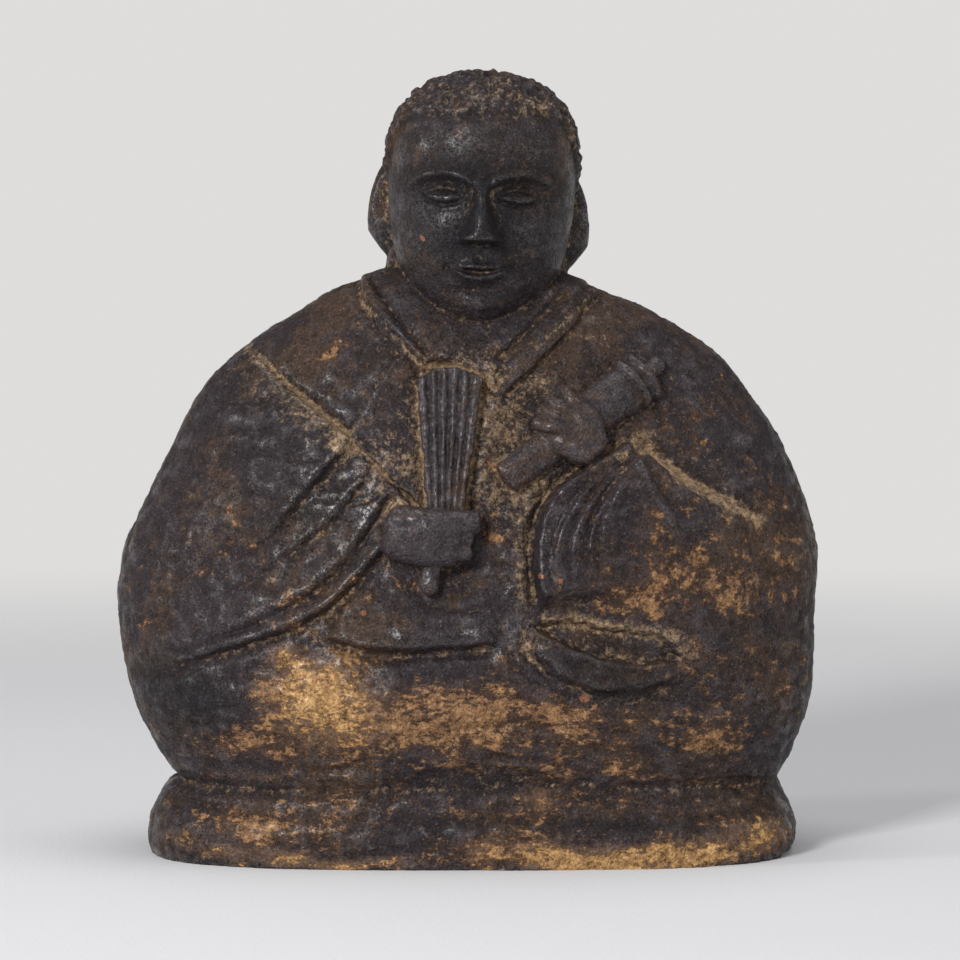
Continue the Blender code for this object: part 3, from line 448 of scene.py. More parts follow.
# %% Carve the lap and the collars
def lap(x, z):
    """The belly's shelf, the lap below it, and the hem over the foot."""
    out = layer(x, z, BELLY_SHELF, height=0.85, reach=12)
    out += crease(x, z, BELLY_SHELF - (0, 2.4 * CUT), depth=1.2, width=2.2, ends=(0.3, 0.15))
    for line in BELLY_LINES:
        out += crease(x, z, line, depth=0.45, width=0.9, ends=(0.3, 0.3))
    out += crease(x, z, KNEE_FOLD, depth=1.0, width=2.0, ends=(0.1, 0.4))
    out += crease(x, z, BELLY_ARC, depth=0.7, width=0.9)
    for fold in LAP_CREASES:
        out += crease(x, z, fold, depth=1.1, width=1.4, ends=(0.35, 0.35))
    out += layer(x, z, BASE_EDGE, height=0.32, reach=12, softness=2.4, ends=(0.03, 0.03))
    for drop, depth in ((-2.6, 0.4), (0.0, 0.5), (2.8, 0.4), (5.4, 0.3)):
        broken = 0.55 + 0.45 * np.sin(x / WIDTH * 23 + 2.1 * drop)
        out += crease(x, z, BASE_EDGE - (0, drop * CUT), depth=depth, width=0.7, ends=(0.03, 0.03)) * broken
    out += crease(x, z, RIM_CREASE, depth=0.9, width=2.4, ends=(0.02, 0.02))
    return out


def collars(x, z):
    """The two crossed bands at the neck, and the sunk ground round the fan."""
    out = layer(x, z, COLLAR_EDGE, height=1.3 * COLLAR_RELIEF / CLOTH_EDGE, reach=30, ends=(0.02, 0.02))
    for line in COLLAR_LINES:
        out += layer(x, z, line, height=-0.5 * COLLAR_RELIEF / CLOTH_EDGE, reach=9, ends=(0.05, 0.05))
        out += crease(x, z, line, depth=1.5, width=1.1, ends=(0.05, 0.05))
    out += crease(x, z, FAN, depth=1.4, width=3.0, ends=(0.001, 0.001))
    return out


def robe_relief(x, z):
    """How far the carved robe stands out from the plain block at each front place."""
    return masses(x, z) + left_sleeve(x, z) + right_sleeve(x, z) + lap(x, z) + collars(x, z)


print("the whole front can be carved now")

# %% Carve the whole block
def back_relief(x, z):
    """A few long shallow folds that fall from the shoulders."""
    out = np.zeros(x.shape)
    for fold in (
        [(-0.30, 0.60), (-0.20, 0.40), (-0.16, 0.20)],
        [(0.30, 0.60), (0.19, 0.42), (0.13, 0.22)],
        [(-0.05, 0.66), (0.02, 0.45), (0.00, 0.25)],
    ):
        out += crease(x, z, drawn(fold), depth=1.1, width=4.0, ends=(0.3, 0.4))
    hem = drawn([(-0.43, 0.068), (0.0, 0.062), (0.43, 0.068)])
    return out + crease(x, z, hem, depth=0.9, width=2.6, ends=(0.02, 0.02))


def carved_block():
    """The seated body and its low foot, carved on the front and more plainly on the back."""
    rows, columns = round(0.79 * HEIGHT / GRAIN), round(2.7 * WIDTH / GRAIN)
    levels = np.linspace(OUTLINE_LEFT[0][0], OUTLINE_LEFT[-1][0], rows)
    sizes = zip(
        levels * HEIGHT,
        read_off(OUTLINE_LEFT, levels) * WIDTH,
        read_off(OUTLINE_RIGHT, levels) * WIDTH,
        read_off(REACH_FRONT, levels) * DEPTH,
        read_off(REACH_BACK, levels) * DEPTH,
        read_off(SQUARENESS, levels),
    )
    grid = np.array([
        np.column_stack([*ring(left, right, front, back, power, columns), np.full(columns, z)])
        for z, left, right, front, back, power in sizes
    ])
    facing = outward(grid)
    x, y, z = np.moveaxis(grid, 2, 0)
    relief = np.zeros(x.shape)
    front, back = facing[..., 1] < 0, facing[..., 1] > 0
    relief[front] = robe_relief(x[front], z[front]) * ease(-facing[front][:, 1] / 0.35)
    relief[back] = back_relief(x[back], z[back]) * ease(facing[back][:, 1] / 0.35)
    return skin("block", grid + facing * relief[..., None])


block = carved_block()
print(block.name, "has", len(block.data.vertices), "points")

# %% [markdown]
# ## The head
#
# The head is one more stack of rings. Its face is a plain, calm one, set out as a drawing book teaches it:
# the eyes halfway up the head, the nose's foot halfway from the brows to the chin, and the mouth a third of
# the way below that. The lids are lowered. Each feature is a small swelling or groove in the same skin.

# %% Set out the face
HEAD_SIDES = [
    (0.0, 0.30), (0.04, 0.50), (0.12, 0.70), (0.24, 0.87), (0.40, 0.97), (0.55, 1.0), (0.72, 0.985),
    (0.85, 0.86), (0.94, 0.62), (0.985, 0.32), (1.0, 0.06),
]
HEAD_FRONT = [
    (0.0, 0.50), (0.04, 0.72), (0.12, 0.84), (0.24, 0.88), (0.40, 0.93), (0.55, 0.955), (0.72, 0.96),
    (0.85, 0.85), (0.94, 0.62), (0.985, 0.32), (1.0, 0.06),
]
HEAD_BACK = [
    (0.0, 0.42), (0.10, 0.56), (0.25, 0.72), (0.42, 0.90), (0.60, 1.0), (0.75, 0.97), (0.86, 0.82),
    (0.94, 0.60), (0.985, 0.32), (1.0, 0.06),
]
CHIN = 1.0 - (HEAD_HEIGHT + HAIR_HEIGHT) / HEIGHT


def face_relief(a, t):
    """The carved face: a is the share of the head's half width, t of its height above the chin."""

    def swell(at, radii, height):
        across = ((np.abs(a) - at[0]) / radii[0]) ** 2
        return height * CUT * np.exp(-across - ((t - at[1]) / radii[1]) ** 2)

    def arc(middle, bend, half, width, height):
        bow = middle[1] + bend * (np.abs(a) - middle[0]) ** 2
        ends = ease((half - np.abs(np.abs(a) - middle[0])) / (0.4 * half))
        return height * CUT * np.exp(-(((t - bow) / width) ** 2)) * ends

    sockets = swell((0.40, 0.530), (0.25, 0.068), -3.8)
    brows = arc((0.42, 0.612), -0.35, 0.42, 0.020, 2.0)
    lids = swell((0.40, 0.514), (0.19, 0.036), 3.6)
    lids += arc((0.40, 0.490), 0.50, 0.25, 0.0095, -2.0)
    lids += arc((0.40, 0.552), -0.60, 0.24, 0.0085, -1.2)
    along = ease((t - 0.335) / 0.022) * ease((0.64 - t) / 0.12)
    half = 0.075 + 0.10 * ease((0.55 - t) / 0.22)
    nose = CUT * (3.0 + 6.0 * ease((0.60 - t) / 0.24)) * np.exp(-((np.abs(a) / half) ** 2.8)) * along
    nose += swell((0.150, 0.362), (0.065, 0.026), 3.6)
    nose += swell((0.07, 0.334), (0.035, 0.010), -1.2)
    mouth = swell((0.0, 0.285), (0.050, 0.030), -0.9)
    mouth += swell((0.0, 0.225), (0.40, 0.100), 1.4)
    mouth += arc((0.0, 0.250), -0.30, 0.31, 0.017, 2.0)
    mouth += arc((0.0, 0.203), 0.35, 0.28, 0.020, 2.3)
    mouth += arc((0.0, 0.227), 0.25, 0.33, 0.0080, -2.6)
    mouth += swell((0.34, 0.236), (0.045, 0.020), -1.5)
    chin = swell((0.0, 0.152), (0.22, 0.020), -1.8) + swell((0.0, 0.088), (0.22, 0.052), 2.8)
    return sockets + brows + lids + nose + mouth + chin + swell((0.52, 0.370), (0.24, 0.110), 1.4)


def leant(places):
    """Places of the head, set on the neck with its slight lean to the right."""
    x, y, z = np.moveaxis(places, -1, 0)
    return np.stack(
        [
            x * math.cos(HEAD_LEAN) + z * math.sin(HEAD_LEAN) + HEAD_RIGHT,
            y - HEAD_FORWARD,
            z * math.cos(HEAD_LEAN) - x * math.sin(HEAD_LEAN) + CHIN * HEIGHT,
        ],
        axis=-1,
    )


print("the eyes are", round(1000 * HEAD_HEIGHT / 2), "mm above the chin")

# %% [markdown]
# ## The hair
#
# The hair is cropped close. The carver left it as a raised cap, pecked all over into small rough lumps. It
# comes down in front of the ears, and low on the nape.

# %% Carve the head and its hair
def hairline(turn):
    """Share of the head's height where the hair begins, at each turn from the face (0) to the nape (1)."""
    return 0.83 - 0.30 * ease((turn - 0.25) / 0.30) - 0.36 * ease((turn - 0.62) / 0.22)


def carved_head():
    """The head with its face and hair."""
    rows, columns = round(1.25 * HEAD_HEIGHT / GRAIN), round(3.6 * HEAD_WIDTH / GRAIN)
    levels = 0.5 - 0.5 * np.cos(np.linspace(0, math.pi, rows))
    grid = np.array([
        np.column_stack([
            *ring(side, side, front, back, 2.35, columns),
            np.full(columns, level * HEAD_HEIGHT),
        ])
        for level, side, front, back in zip(
            levels,
            read_off(HEAD_SIDES, levels) * HEAD_WIDTH / 2,
            read_off(HEAD_FRONT, levels) * HEAD_DEPTH / 2,
            read_off(HEAD_BACK, levels) * HEAD_DEPTH / 2,
        )
    ])
    facing = outward(grid)
    x, y, z = np.moveaxis(grid, 2, 0)
    a, t = x / (HEAD_WIDTH / 2), z / HEAD_HEIGHT
    turn = np.arccos(np.clip(-y / np.maximum(np.hypot(x, y), 1e-6), -1, 1)) / math.pi
    grid[..., 1] -= face_relief(a, t) * ease((-facing[..., 1] - 0.05) / 0.4)
    uneven = 0.012 * ripple(grid, 0.012, seed=3)
    hair = ease((t - hairline(turn) - uneven) / 0.03)
    lumps = ripple(grid, 0.0048, seed=4) + 0.6 * ripple(grid, 0.0028, seed=5)
    grid += facing * (hair * (HAIR_HEIGHT + 0.75 * CUT * np.clip(lumps, -1.6, 1.6)))[..., None]
    return skin("head", leant(grid))


head = carved_head()
print(head.name, "has", len(head.data.vertices), "points")

# %% [markdown]
# ## The ears
#
# The ears are long and flat, like two tabs that stand off the head and face forwards. Each is a stack of
# flat rings, hollowed a little inside its rim, turned out by its flare.

# %% Carve the ears
def carved_ear(side):
    """The ear on the left (-1) or the right (1)."""
    rows, columns = round(2.2 * EAR_HEIGHT / GRAIN), round(3.4 * EAR_WIDTH / GRAIN)
    grid = []
    for level in 0.5 - 0.5 * np.cos(np.linspace(0.04, math.pi - 0.04, rows)):
        half = EAR_WIDTH / 2 * math.sin(math.pi * level) ** 0.48 * (0.78 + 0.30 * level)
        thick = EAR_THICKNESS / 2 * math.sin(math.pi * level) ** 0.5
        x, y = ring(thick, thick, half, half, 2.3, columns)
        inner = np.exp(-((y / (0.45 * EAR_WIDTH / 2)) ** 2)) * math.exp(-(((level - 0.62) / 0.2) ** 2))
        x = np.where(x > 0, x - 2.0 * CUT * inner, x)
        grid.append(np.column_stack([x, y, np.full(columns, (level - 0.5) * EAR_HEIGHT)]))
    x, y, z = np.moveaxis(np.array(grid), 2, 0)
    out = x * math.cos(EAR_FLARE) + y * math.sin(EAR_FLARE)
    back = y * math.cos(EAR_FLARE) - x * math.sin(EAR_FLARE)
    sunk = 0.0 if side < 0 else 1.4 * CUT
    placed = np.stack(
        [
            side * (out + HEAD_WIDTH / 2 - 0.13 * z - sunk - 0.55 * np.maximum(-z - 0.22 * EAR_HEIGHT, 0)),
            back + 8.0 * CUT,
            z + (0.455 if side < 0 else 0.420) * HEAD_HEIGHT,
        ],
        axis=2,
    )
    return skin("ear_left" if side < 0 else "ear_right", leant(placed[:, ::side]))


ears = [carved_ear(-1), carved_ear(1)]
print("ears:", [ear.name for ear in ears])

# %% [markdown]
# ## Round forms along a path
#
# Fingers, the scroll and the collar's band are all one kind of shape: a ring carried along a smooth path,
# with rounded ends. The ring can be squashed, squared, or blunt at its ends.

# %% Sweep a ring along a path
def swept(name, path, radii, flat=1.0, around=None, power=2.0, blunt=1.0):
    """A solid along a smooth path. flat squashes it towards around, power squares its section, and
    blunt is the length of its rounded ends as a share of their radius."""
    line = curve_through(path)
    sizes = curve_through(np.column_stack([radii, radii]))[:, 0]
    ends = np.array([0.0, 0.12, 0.3, 0.6])
    caps = np.maximum(np.sqrt(1 - (1 - ends) ** 2), 0.05)
    first, last = line[0] - line[1], line[-1] - line[-2]
    first, last = first / np.linalg.norm(first), last / np.linalg.norm(last)
    centres = np.vstack([
        [line[0] + first * sizes[0] * blunt * (1 - end) for end in ends],
        line,
        [line[-1] + last * sizes[-1] * blunt * (1 - end) for end in ends[::-1]],
    ])
    widths = np.concatenate([caps * sizes[0], sizes, caps[::-1] * sizes[-1]])
    count = max(16, round(2 * math.pi * max(radii) / GRAIN))
    headings = np.gradient(centres, axis=0)
    headings /= np.linalg.norm(headings, axis=1, keepdims=True)
    grid = []
    for centre, heading, width in zip(centres, headings, widths):
        up = np.array((0.0, -1.0, 0.0) if around is None else around(centre))
        up -= heading * np.dot(up, heading)
        up /= np.linalg.norm(up)
        across, along = ring(width, width, flat * width, flat * width, power, count)
        grid.append(centre + across[:, None] * np.cross(up, heading) - along[:, None] * up)
    return skin(name, np.array(grid))


print("a finger is", round(2000 * FINGER_RADIUS, 1), "mm thick")

# %% [markdown]
# ## The fan and the hand that holds it
#
# The fan is closed: a flat tapered slab with an arched top, cut with ribs along its face. The hand below it
# is a plain fist. Its back is smooth, and only the ends of the fingers are cut apart.

# %% Carve the fan
def fan():
    """The closed fan, upright against the chest."""
    rows, columns = round(50 * CUT / GRAIN), round(90 * CUT / GRAIN)
    angle = np.arange(columns) * 2 * math.pi / columns
    across = np.cos(angle)
    deep = np.sign(np.sin(angle)) * (1 - across**8) ** (1 / 8) * FAN_THICKNESS / 2
    ribs = (0.5 + 0.5 * np.cos(across * math.pi * FAN_RIBS)) ** 1.5 * ease((1 - np.abs(across)) / 0.16)
    deep = np.where(deep < 0, deep + RIB_DEPTH * ribs, deep)
    grid = []
    for share in np.linspace(0, 1, rows):
        left = FAN_FOOT[0][0] + share * (FAN_TOP[0][0] - FAN_FOOT[0][0])
        right = FAN_FOOT[1][0] + share * (FAN_TOP[-1][0] - FAN_FOOT[1][0])
        level = FAN_FOOT[0][1] + share * (FAN_TOP[0][1] - FAN_FOOT[0][1])
        half = (right - left) * WIDTH / 2
        centre = on_front(((left + right) / 2, level), (FAN_RELIEF - FAN_THICKNESS / 2) / CUT)
        arch = share**6 * (1 - across**2) * (FAN_TOP[2][1] - FAN_TOP[0][1]) * HEIGHT
        grid.append(np.column_stack([centre[0] + half * across, centre[1] + deep, centre[2] + arch]))
    return skin("fan", np.array(grid))


closed_fan = fan()
print("the fan stands", 1000 * FAN_RELIEF, "mm off the chest")

# %% Carve the fist
def right_hand():
    """The fist round the fan: its back, three blocks at the ends of its fingers, and the fan's pivot end."""
    yield swept(
        "fist",
        [on_front(p, 1.6) for p in [(-0.104, 0.424), (-0.060, 0.418), (-0.024, 0.416)]],
        [9.0 * CUT, 9.8 * CUT, 9.4 * CUT],
        flat=0.82,
        power=2.9,
        blunt=0.45,
    )
    for number, (start, end, size) in enumerate([
        ((-0.030, 0.4370), (0.009, 0.4370), 3.7), ((-0.030, 0.4165), (0.001, 0.4170), 2.5),
        ((-0.030, 0.4000), (-0.002, 0.4010), 2.7),
    ]):
        path = [on_front(start, 5.0), on_front(end, 4.6)]
        yield swept(f"finger_block_{number}", path, [size * CUT] * 2, power=3.2, blunt=0.5)
    yield swept(
        "fan_handle",
        [on_front(p, 1.6) for p in [(-0.045, 0.420), (-0.053, 0.380), (-0.057, 0.358)]],
        [2.6 * CUT, 2.8 * CUT, 3.4 * CUT],
        flat=0.8,
    )


fist = list(right_hand())
print("the fist has", len(fist), "forms")

# %% [markdown]
# ## The scroll and the hand that holds it
#
# The scroll slopes up across the chest to a ringed end with a small knob. The hand lies over its middle,
# seen from its back, with four short fingers that curl over the upper side.

# %% Carve the scroll and its hand
def left_hand():
    """The scroll, the hand on it, its four fingers and its thumb."""
    yield swept(
        "scroll",
        [on_front(p, 2.0) for p in [(0.053, 0.492), (0.100, 0.523), (0.180, 0.575), (0.240, 0.612)]],
        [0.68 * SCROLL_RADIUS, 0.72 * SCROLL_RADIUS, 0.95 * SCROLL_RADIUS, SCROLL_RADIUS],
        flat=0.75,
        blunt=0.35,
    )
    for place in (0.0, 0.55):
        start = (0.224 + 0.024 * place, 0.602 + 0.016 * place)
        yield swept(
            f"scroll_ring_{place}",
            [on_front(start, 2.0), on_front((start[0] + 0.006, start[1] + 0.004), 2.0)],
            [1.15 * SCROLL_RADIUS] * 2,
            flat=0.78,
            blunt=0.12,
        )
    yield swept(
        "scroll_knob",
        [on_front(p, 0.8) for p in [(0.240, 0.612), (0.264, 0.628)]],
        [SCROLL_KNOB_RADIUS] * 2,
        blunt=0.7,
    )
    yield swept(
        "palm",
        [on_front(p, 4.6) for p in [(0.162, 0.532), (0.148, 0.554), (0.136, 0.570)]],
        [7.6 * CUT, 9.2 * CUT, 8.0 * CUT],
        flat=0.62,
        power=2.4,
        blunt=0.8,
    )
    tips = [(0.095, 0.559), (0.100, 0.576), (0.111, 0.590), (0.131, 0.599)]
    roots = [(0.130, 0.553), (0.134, 0.563), (0.141, 0.572), (0.153, 0.580)]
    for number, (root, tip) in enumerate(zip(roots, tips)):
        middle = (0.45 * root[0] + 0.55 * tip[0], 0.45 * root[1] + 0.55 * tip[1])
        steps = [(root, 8.2), (middle, 8.6), (tip, 6.4)]
        yield swept(
            f"grip_{number}", [on_front(*step) for step in steps], [0.82 * FINGER_RADIUS] * 3, blunt=0.8
        )
    steps = [((0.160, 0.522), 5.4), ((0.132, 0.534), 5.4), ((0.106, 0.553), 4.6)]
    yield swept("grip_thumb", [on_front(*step) for step in steps], [4.0 * CUT, 3.6 * CUT, 2.8 * CUT])


grip = list(left_hand())
print("the hand and the scroll have", len(grip), "forms")

# %% Fill the neck and lay the collar round it
def neck():
    """The short broad neck, behind the jaw and between the ears."""
    path = [(HEAD_RIGHT - 0.2 * CUT, 2.0 * CUT, level * HEIGHT) for level in (0.70, 0.74, 0.775)]
    return swept("neck", path, [30.5 * CUT, 30.5 * CUT, 29.5 * CUT], flat=0.72, power=2.2, blunt=0.25)


def from_neck(place):
    """The direction out of the neck at a place on the collar."""
    return (25 * (place[0] - HEAD_RIGHT), 30 * place[1], 0.4)


def collar():
    """The collar's band, from the chest over one shoulder, round the neck and down to the chest."""
    left = [(-0.066, 0.630), (-0.100, 0.664), (-0.127, 0.695)]
    right = [(0.146, 0.700), (0.104, 0.660), (0.060, 0.621), (0.038, 0.604)]
    round_neck = [
        (-0.128, 0.731, -0.010), (-0.090, 0.742, 0.070), (0.010, 0.748, 0.104), (0.112, 0.742, 0.070),
        (0.138, 0.727, -0.010),
    ]
    path = [on_front(place, 0.2) for place in left]
    path += [(x * WIDTH, y * HEIGHT, z * HEIGHT) for x, z, y in round_neck]
    path += [on_front(place, 0.2) for place in right]
    return swept("collar", path, [COLLAR_WIDTH] * len(path), flat=0.55, around=from_neck, power=2.6)


throat, band = neck(), collar()
print("the collar's band has", len(band.data.vertices), "points")

# %% [markdown]
# ## One stone
#
# So far the forms only overlap. A voxel remesh melts them into a single closed skin, as they are in the
# stone, and a light smoothing takes away the small steps that it leaves.

# %% Join the forms into one skin
def finish_with(made, kind, **settings):
    """Adds a modifier and applies it."""
    modifier = made.modifiers.new(kind.lower(), kind)
    for name, value in settings.items():
        setattr(modifier, name, value)
    bpy.context.view_layer.objects.active = made
    bpy.ops.object.modifier_apply(modifier=modifier.name)


def points_of(made):
    """The places of an object's points, as an array."""
    places = np.empty(3 * len(made.data.vertices), np.float32)
    made.data.vertices.foreach_get("co", places)
    return places.reshape(-1, 3).astype(float)


bpy.ops.object.select_all(action="DESELECT")
for form in [block, head, *ears, closed_fan, *fist, *grip, throat, band]:
    form.select_set(True)
bpy.context.view_layer.objects.active = block
bpy.ops.object.join()
monk = block
monk.name = monk.data.name = "monk_in_stone"
places = points_of(monk)
middle = (places.min(0) + places.max(0)) / 2
places -= (middle[0], middle[1], 0)
monk.data.vertices.foreach_set("co", places.astype(np.float32).ravel())
finish_with(monk, "REMESH", mode="VOXEL", voxel_size=GRAIN)
finish_with(monk, "SMOOTH", factor=0.5, iterations=1)
print("the skin has", len(monk.data.polygons), "faces")

# %% [markdown]
# ## The chisel's marks
#
# The stone is never quite smooth. The carver's tool left shallow scallops all over, the bed of the stone
# shows as fine level lines on the lap, and the foot's lower edge has crumbled. All of that is real shape,
# added here by pushing each point in or out along its own direction.

# %% Roughen the skin and set it level on the ground
def directions_of(made):
    """The outward direction at each of an object's points."""
    normals = np.empty(3 * len(made.data.vertices), np.float32)
    made.data.vertex_normals.foreach_get("vector", normals)
    return normals.reshape(-1, 3).astype(float)


def tool_marks(places):
    """How far the carver's tool and the years moved each place, in cuts."""
    x, y, z = (places + (middle[0], middle[1], 0)).T
    level = z / HEIGHT
    on_head = ease((level - 0.70) / 0.05) * ease((0.17 - np.abs(x - HEAD_RIGHT) / WIDTH) / 0.02)
    marks = 0.20 * ripple(places, 0.011, seed=11) + 0.13 * ripple(places, 0.0045, seed=12)
    marks += 0.07 * ripple(places, 0.0024, seed=18)
    beds = 0.17 * ripple(places * (1, 1, 5), 0.016, seed=13)
    marks += beds * (0.35 + 0.65 * ease((0.34 - level) / 0.1)) * ease((y + 0.01) / -0.02)
    marks += 0.14 * ripple(places, 0.006, seed=14) * ease(y / 0.02)
    marks *= 1 - 0.85 * on_head
    front_right = 0.65 * ease((x / WIDTH + 0.10) / 0.25) * ease(-y / 0.02)
    crumbled = ease((0.046 - level) / 0.03) * (0.35 + front_right)
    broken = np.maximum(ripple(places, 0.006, seed=15), -0.2)
    broken += 0.5 * np.maximum(ripple(places, 0.003, seed=16), 0)
    nicks = ease((0.012 - level) / 0.012) * np.maximum(ripple(places, 0.016, seed=17), 0)
    return marks - 0.55 * crumbled * (broken + 0.2) - 0.9 * crumbled * nicks


places, outwards = points_of(monk), directions_of(monk)
places += outwards * (tool_marks(places) * CUT)[:, None]
places[:, 2] = np.maximum(places[:, 2], 0)
monk.data.vertices.foreach_set("co", places.astype(np.float32).ravel())
monk.data.update()
print("the highest point is", round(1000 * float(places[:, 2].max()), 1), "mm up")

# %% [markdown]
# ## Fewer faces where little happens
#
# A skin this fine has over a million triangles, and most of them lie on plain, softly rounded stone. So it
# is thinned in three regions: the back, the plain part of the front, and the finely carved part of the front
# with the head, the hands, the fan and the scroll. Each region keeps a number of triangles of its own.

# %% Thin the skin
BACK_FACES, PLAIN_FACES, FINE_FACES = 66000, 130000, 130000
BACK_STARTS = -0.004
HEAD_STARTS = 0.70
HANDS_START = 0.34
HANDS_MIDDLE = 0.07
HANDS_HALF = 0.21
KEPT_SHARE = 1.0


def thin(made, region, faces_left):
    """Thins the faces in one region, until about that many triangles are left of them."""
    made.data.polygons.foreach_set("select", region)
    bpy.ops.object.mode_set(mode="EDIT")
    bpy.ops.mesh.select_mode(type="FACE")
    bpy.ops.mesh.decimate(ratio=min(1.0, faces_left / region.sum()))
    bpy.ops.object.mode_set(mode="OBJECT")


def middles_of(made):
    """The middle of each face."""
    middles = np.empty(3 * len(made.data.polygons), np.float32)
    made.data.polygons.foreach_get("center", middles)
    return middles.reshape(-1, 3).astype(float)


def regions(made):
    """Which faces are on the back, on the plain part of the front and on its finely carved part."""
    x, y, z = middles_of(made).T
    hands = (np.abs(x / WIDTH - HANDS_MIDDLE) < HANDS_HALF) & (z > HANDS_START * HEIGHT)
    detail = (z > HEAD_STARTS * HEIGHT) | hands
    return {
        "back": y > BACK_STARTS,
        "plain": (y < BACK_STARTS) & ~detail,
        "fine": (y < BACK_STARTS) & detail,
    }


bpy.ops.object.select_all(action="DESELECT")
monk.select_set(True)
bpy.context.view_layer.objects.active = monk
finish_with(monk, "TRIANGULATE")
thin(monk, regions(monk)["back"], BACK_FACES * KEPT_SHARE)
thin(monk, regions(monk)["plain"], PLAIN_FACES * KEPT_SHARE)
thin(monk, regions(monk)["fine"], FINE_FACES * KEPT_SHARE)
bpy.ops.object.shade_smooth()
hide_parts("seated_monk")
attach(monk, "root")
print(monk.name, "has", len(monk.data.polygons), "faces")

# %% [markdown]
# ## Where the years left their marks
#
# The finish follows the shape. Dust stays in hollows, and the dark skin wears off where the stone stands
# out. Both can be worked out from the mesh: a point lies in a hollow when its neighbours, on average, stand
# further out than it does. Some marks have no such reason, so those are placed one by one.

# %% Find the hollows and the ridges
def blurred(values, ends, rounds):
    """Values spread over the skin: each point takes the mean of itself and its neighbours, in rounds."""
    first, second = ends.T
    count = len(values)
    weight = 1 + np.bincount(first, minlength=count) + np.bincount(second, minlength=count)
    values = values.copy()
    for _ in range(rounds):
        for column in values.T:
            total = column + np.bincount(first, column[second], count)
            total += np.bincount(second, column[first], count)
            column[:] = total / weight
    return values


places, outwards = points_of(monk), directions_of(monk)
ends = np.empty(2 * len(monk.data.edges), np.int32)
monk.data.edges.foreach_get("vertices", ends)
ends = ends.reshape(-1, 2)
near = ((blurred(places, ends, 3) - places) * outwards).sum(1) / CUT
far = ((blurred(places, ends, 45) - places) * outwards).sum(1) / CUT
# The hollow mark places dust, and it also places the painted shade that darkens the hollows.
hollow = blurred(np.clip(near / 0.20, 0, 1)[:, None], ends, 1)[:, 0]
valley = np.clip(far / 1.1, 0, 1)
ridge = blurred(np.clip(-near / 0.22, 0, 1)[:, None], ends, 1)[:, 0]
print("points in a hollow:", int((hollow > 0.5).sum()), "on a ridge:", int((ridge > 0.5).sum()))

# %% Note the worn and the bare places
# Each place: share of the width, share of the height, half its width and half its height in cuts,
# strength, and turn in radians.
RUBBED_PLACES = [
    (0.0, 0.190, 130.0, 26.0, 0.58, 0), (0.320, 0.370, 50.0, 50.0, 0.60, 0),
    (-0.380, 0.360, 36.0, 46.0, 0.36, 0), (0.0, 0.055, 140.0, 18.0, 0.70, 0),
    (-0.15, 0.36, 36.0, 14.0, 0.40, 0), (0.30, 0.60, 40.0, 40.0, 0.24, 0),
    (0.03, 0.46, 16.0, 40.0, 0.30, 0), (-0.24, 0.20, 40.0, 18.0, 0.30, 0),
    (-0.195, 0.649, 8.8, 3.6, 1.5, 0.75), (-0.237, 0.302, 9.8, 4.2, 1.0, 0),
    (-0.290, 0.227, 7.2, 6.5, 0.9, 0), (-0.105, 0.193, 20.2, 14.4, 0.7, 0),
    (-0.021, 0.184, 19.6, 11.8, 0.6, 0), (-0.321, 0.155, 26.1, 7.8, 0.7, 0),
    (-0.460, 0.287, 3.9, 11.1, 0.8, 0), (-0.488, 0.337, 3.3, 9.8, 0.5, 0),
    (-0.356, 0.407, 15.0, 11.1, 0.5, 0), (-0.153, 0.337, 22.8, 7.2, 0.35, 0),
    (0.220, 0.337, 13.7, 7.8, 0.8, 0), (0.120, 0.369, 2.9, 3.9, 1.1, 0),
    (0.370, 0.350, 9.8, 10.4, 0.75, 0), (0.258, 0.438, 9.1, 10.4, 0.55, 0),
    (0.453, 0.312, 7.2, 39.2, 0.45, 0), (0.335, 0.162, 13.7, 8.5, 0.8, 0),
    (0.133, 0.174, 9.8, 11.1, 0.7, 0), (0.167, 0.197, 5.2, 3.3, 0.6, 0),
    (0.028, 0.212, 26.1, 7.2, 0.5, 0), (0.198, 0.124, 5.9, 2.6, 0.7, 0),
    (0.084, 0.024, 11.1, 5.9, 0.7, 0), (0.042, 0.503, 9.1, 3.9, 0.55, 0),
    (0.031, 0.413, 4.6, 7.8, 0.9, 0), (-0.307, 0.055, 20.9, 8.5, 1.0, 0),
    (-0.405, 0.030, 9.8, 4.6, 0.8, 0), (-0.174, 0.268, 8.5, 4.6, 0.8, 0),
    (0.258, 0.356, 6.5, 5.2, 0.5, 0), (-0.137, 0.604, 4.6, 3.9, 0.45, 0),
    (0.321, 0.105, 19.6, 2.6, 0.4, 0), (0.063, 0.130, 19.6, 4.6, 0.35, 0),
    (0.014, 0.024, 13.1, 5.2, 0.5, 0), (-0.453, 0.162, 3.3, 6.5, 0.5, 0),
    (0.042, 0.560, 7.0, 12.0, 0.3, 0),
]
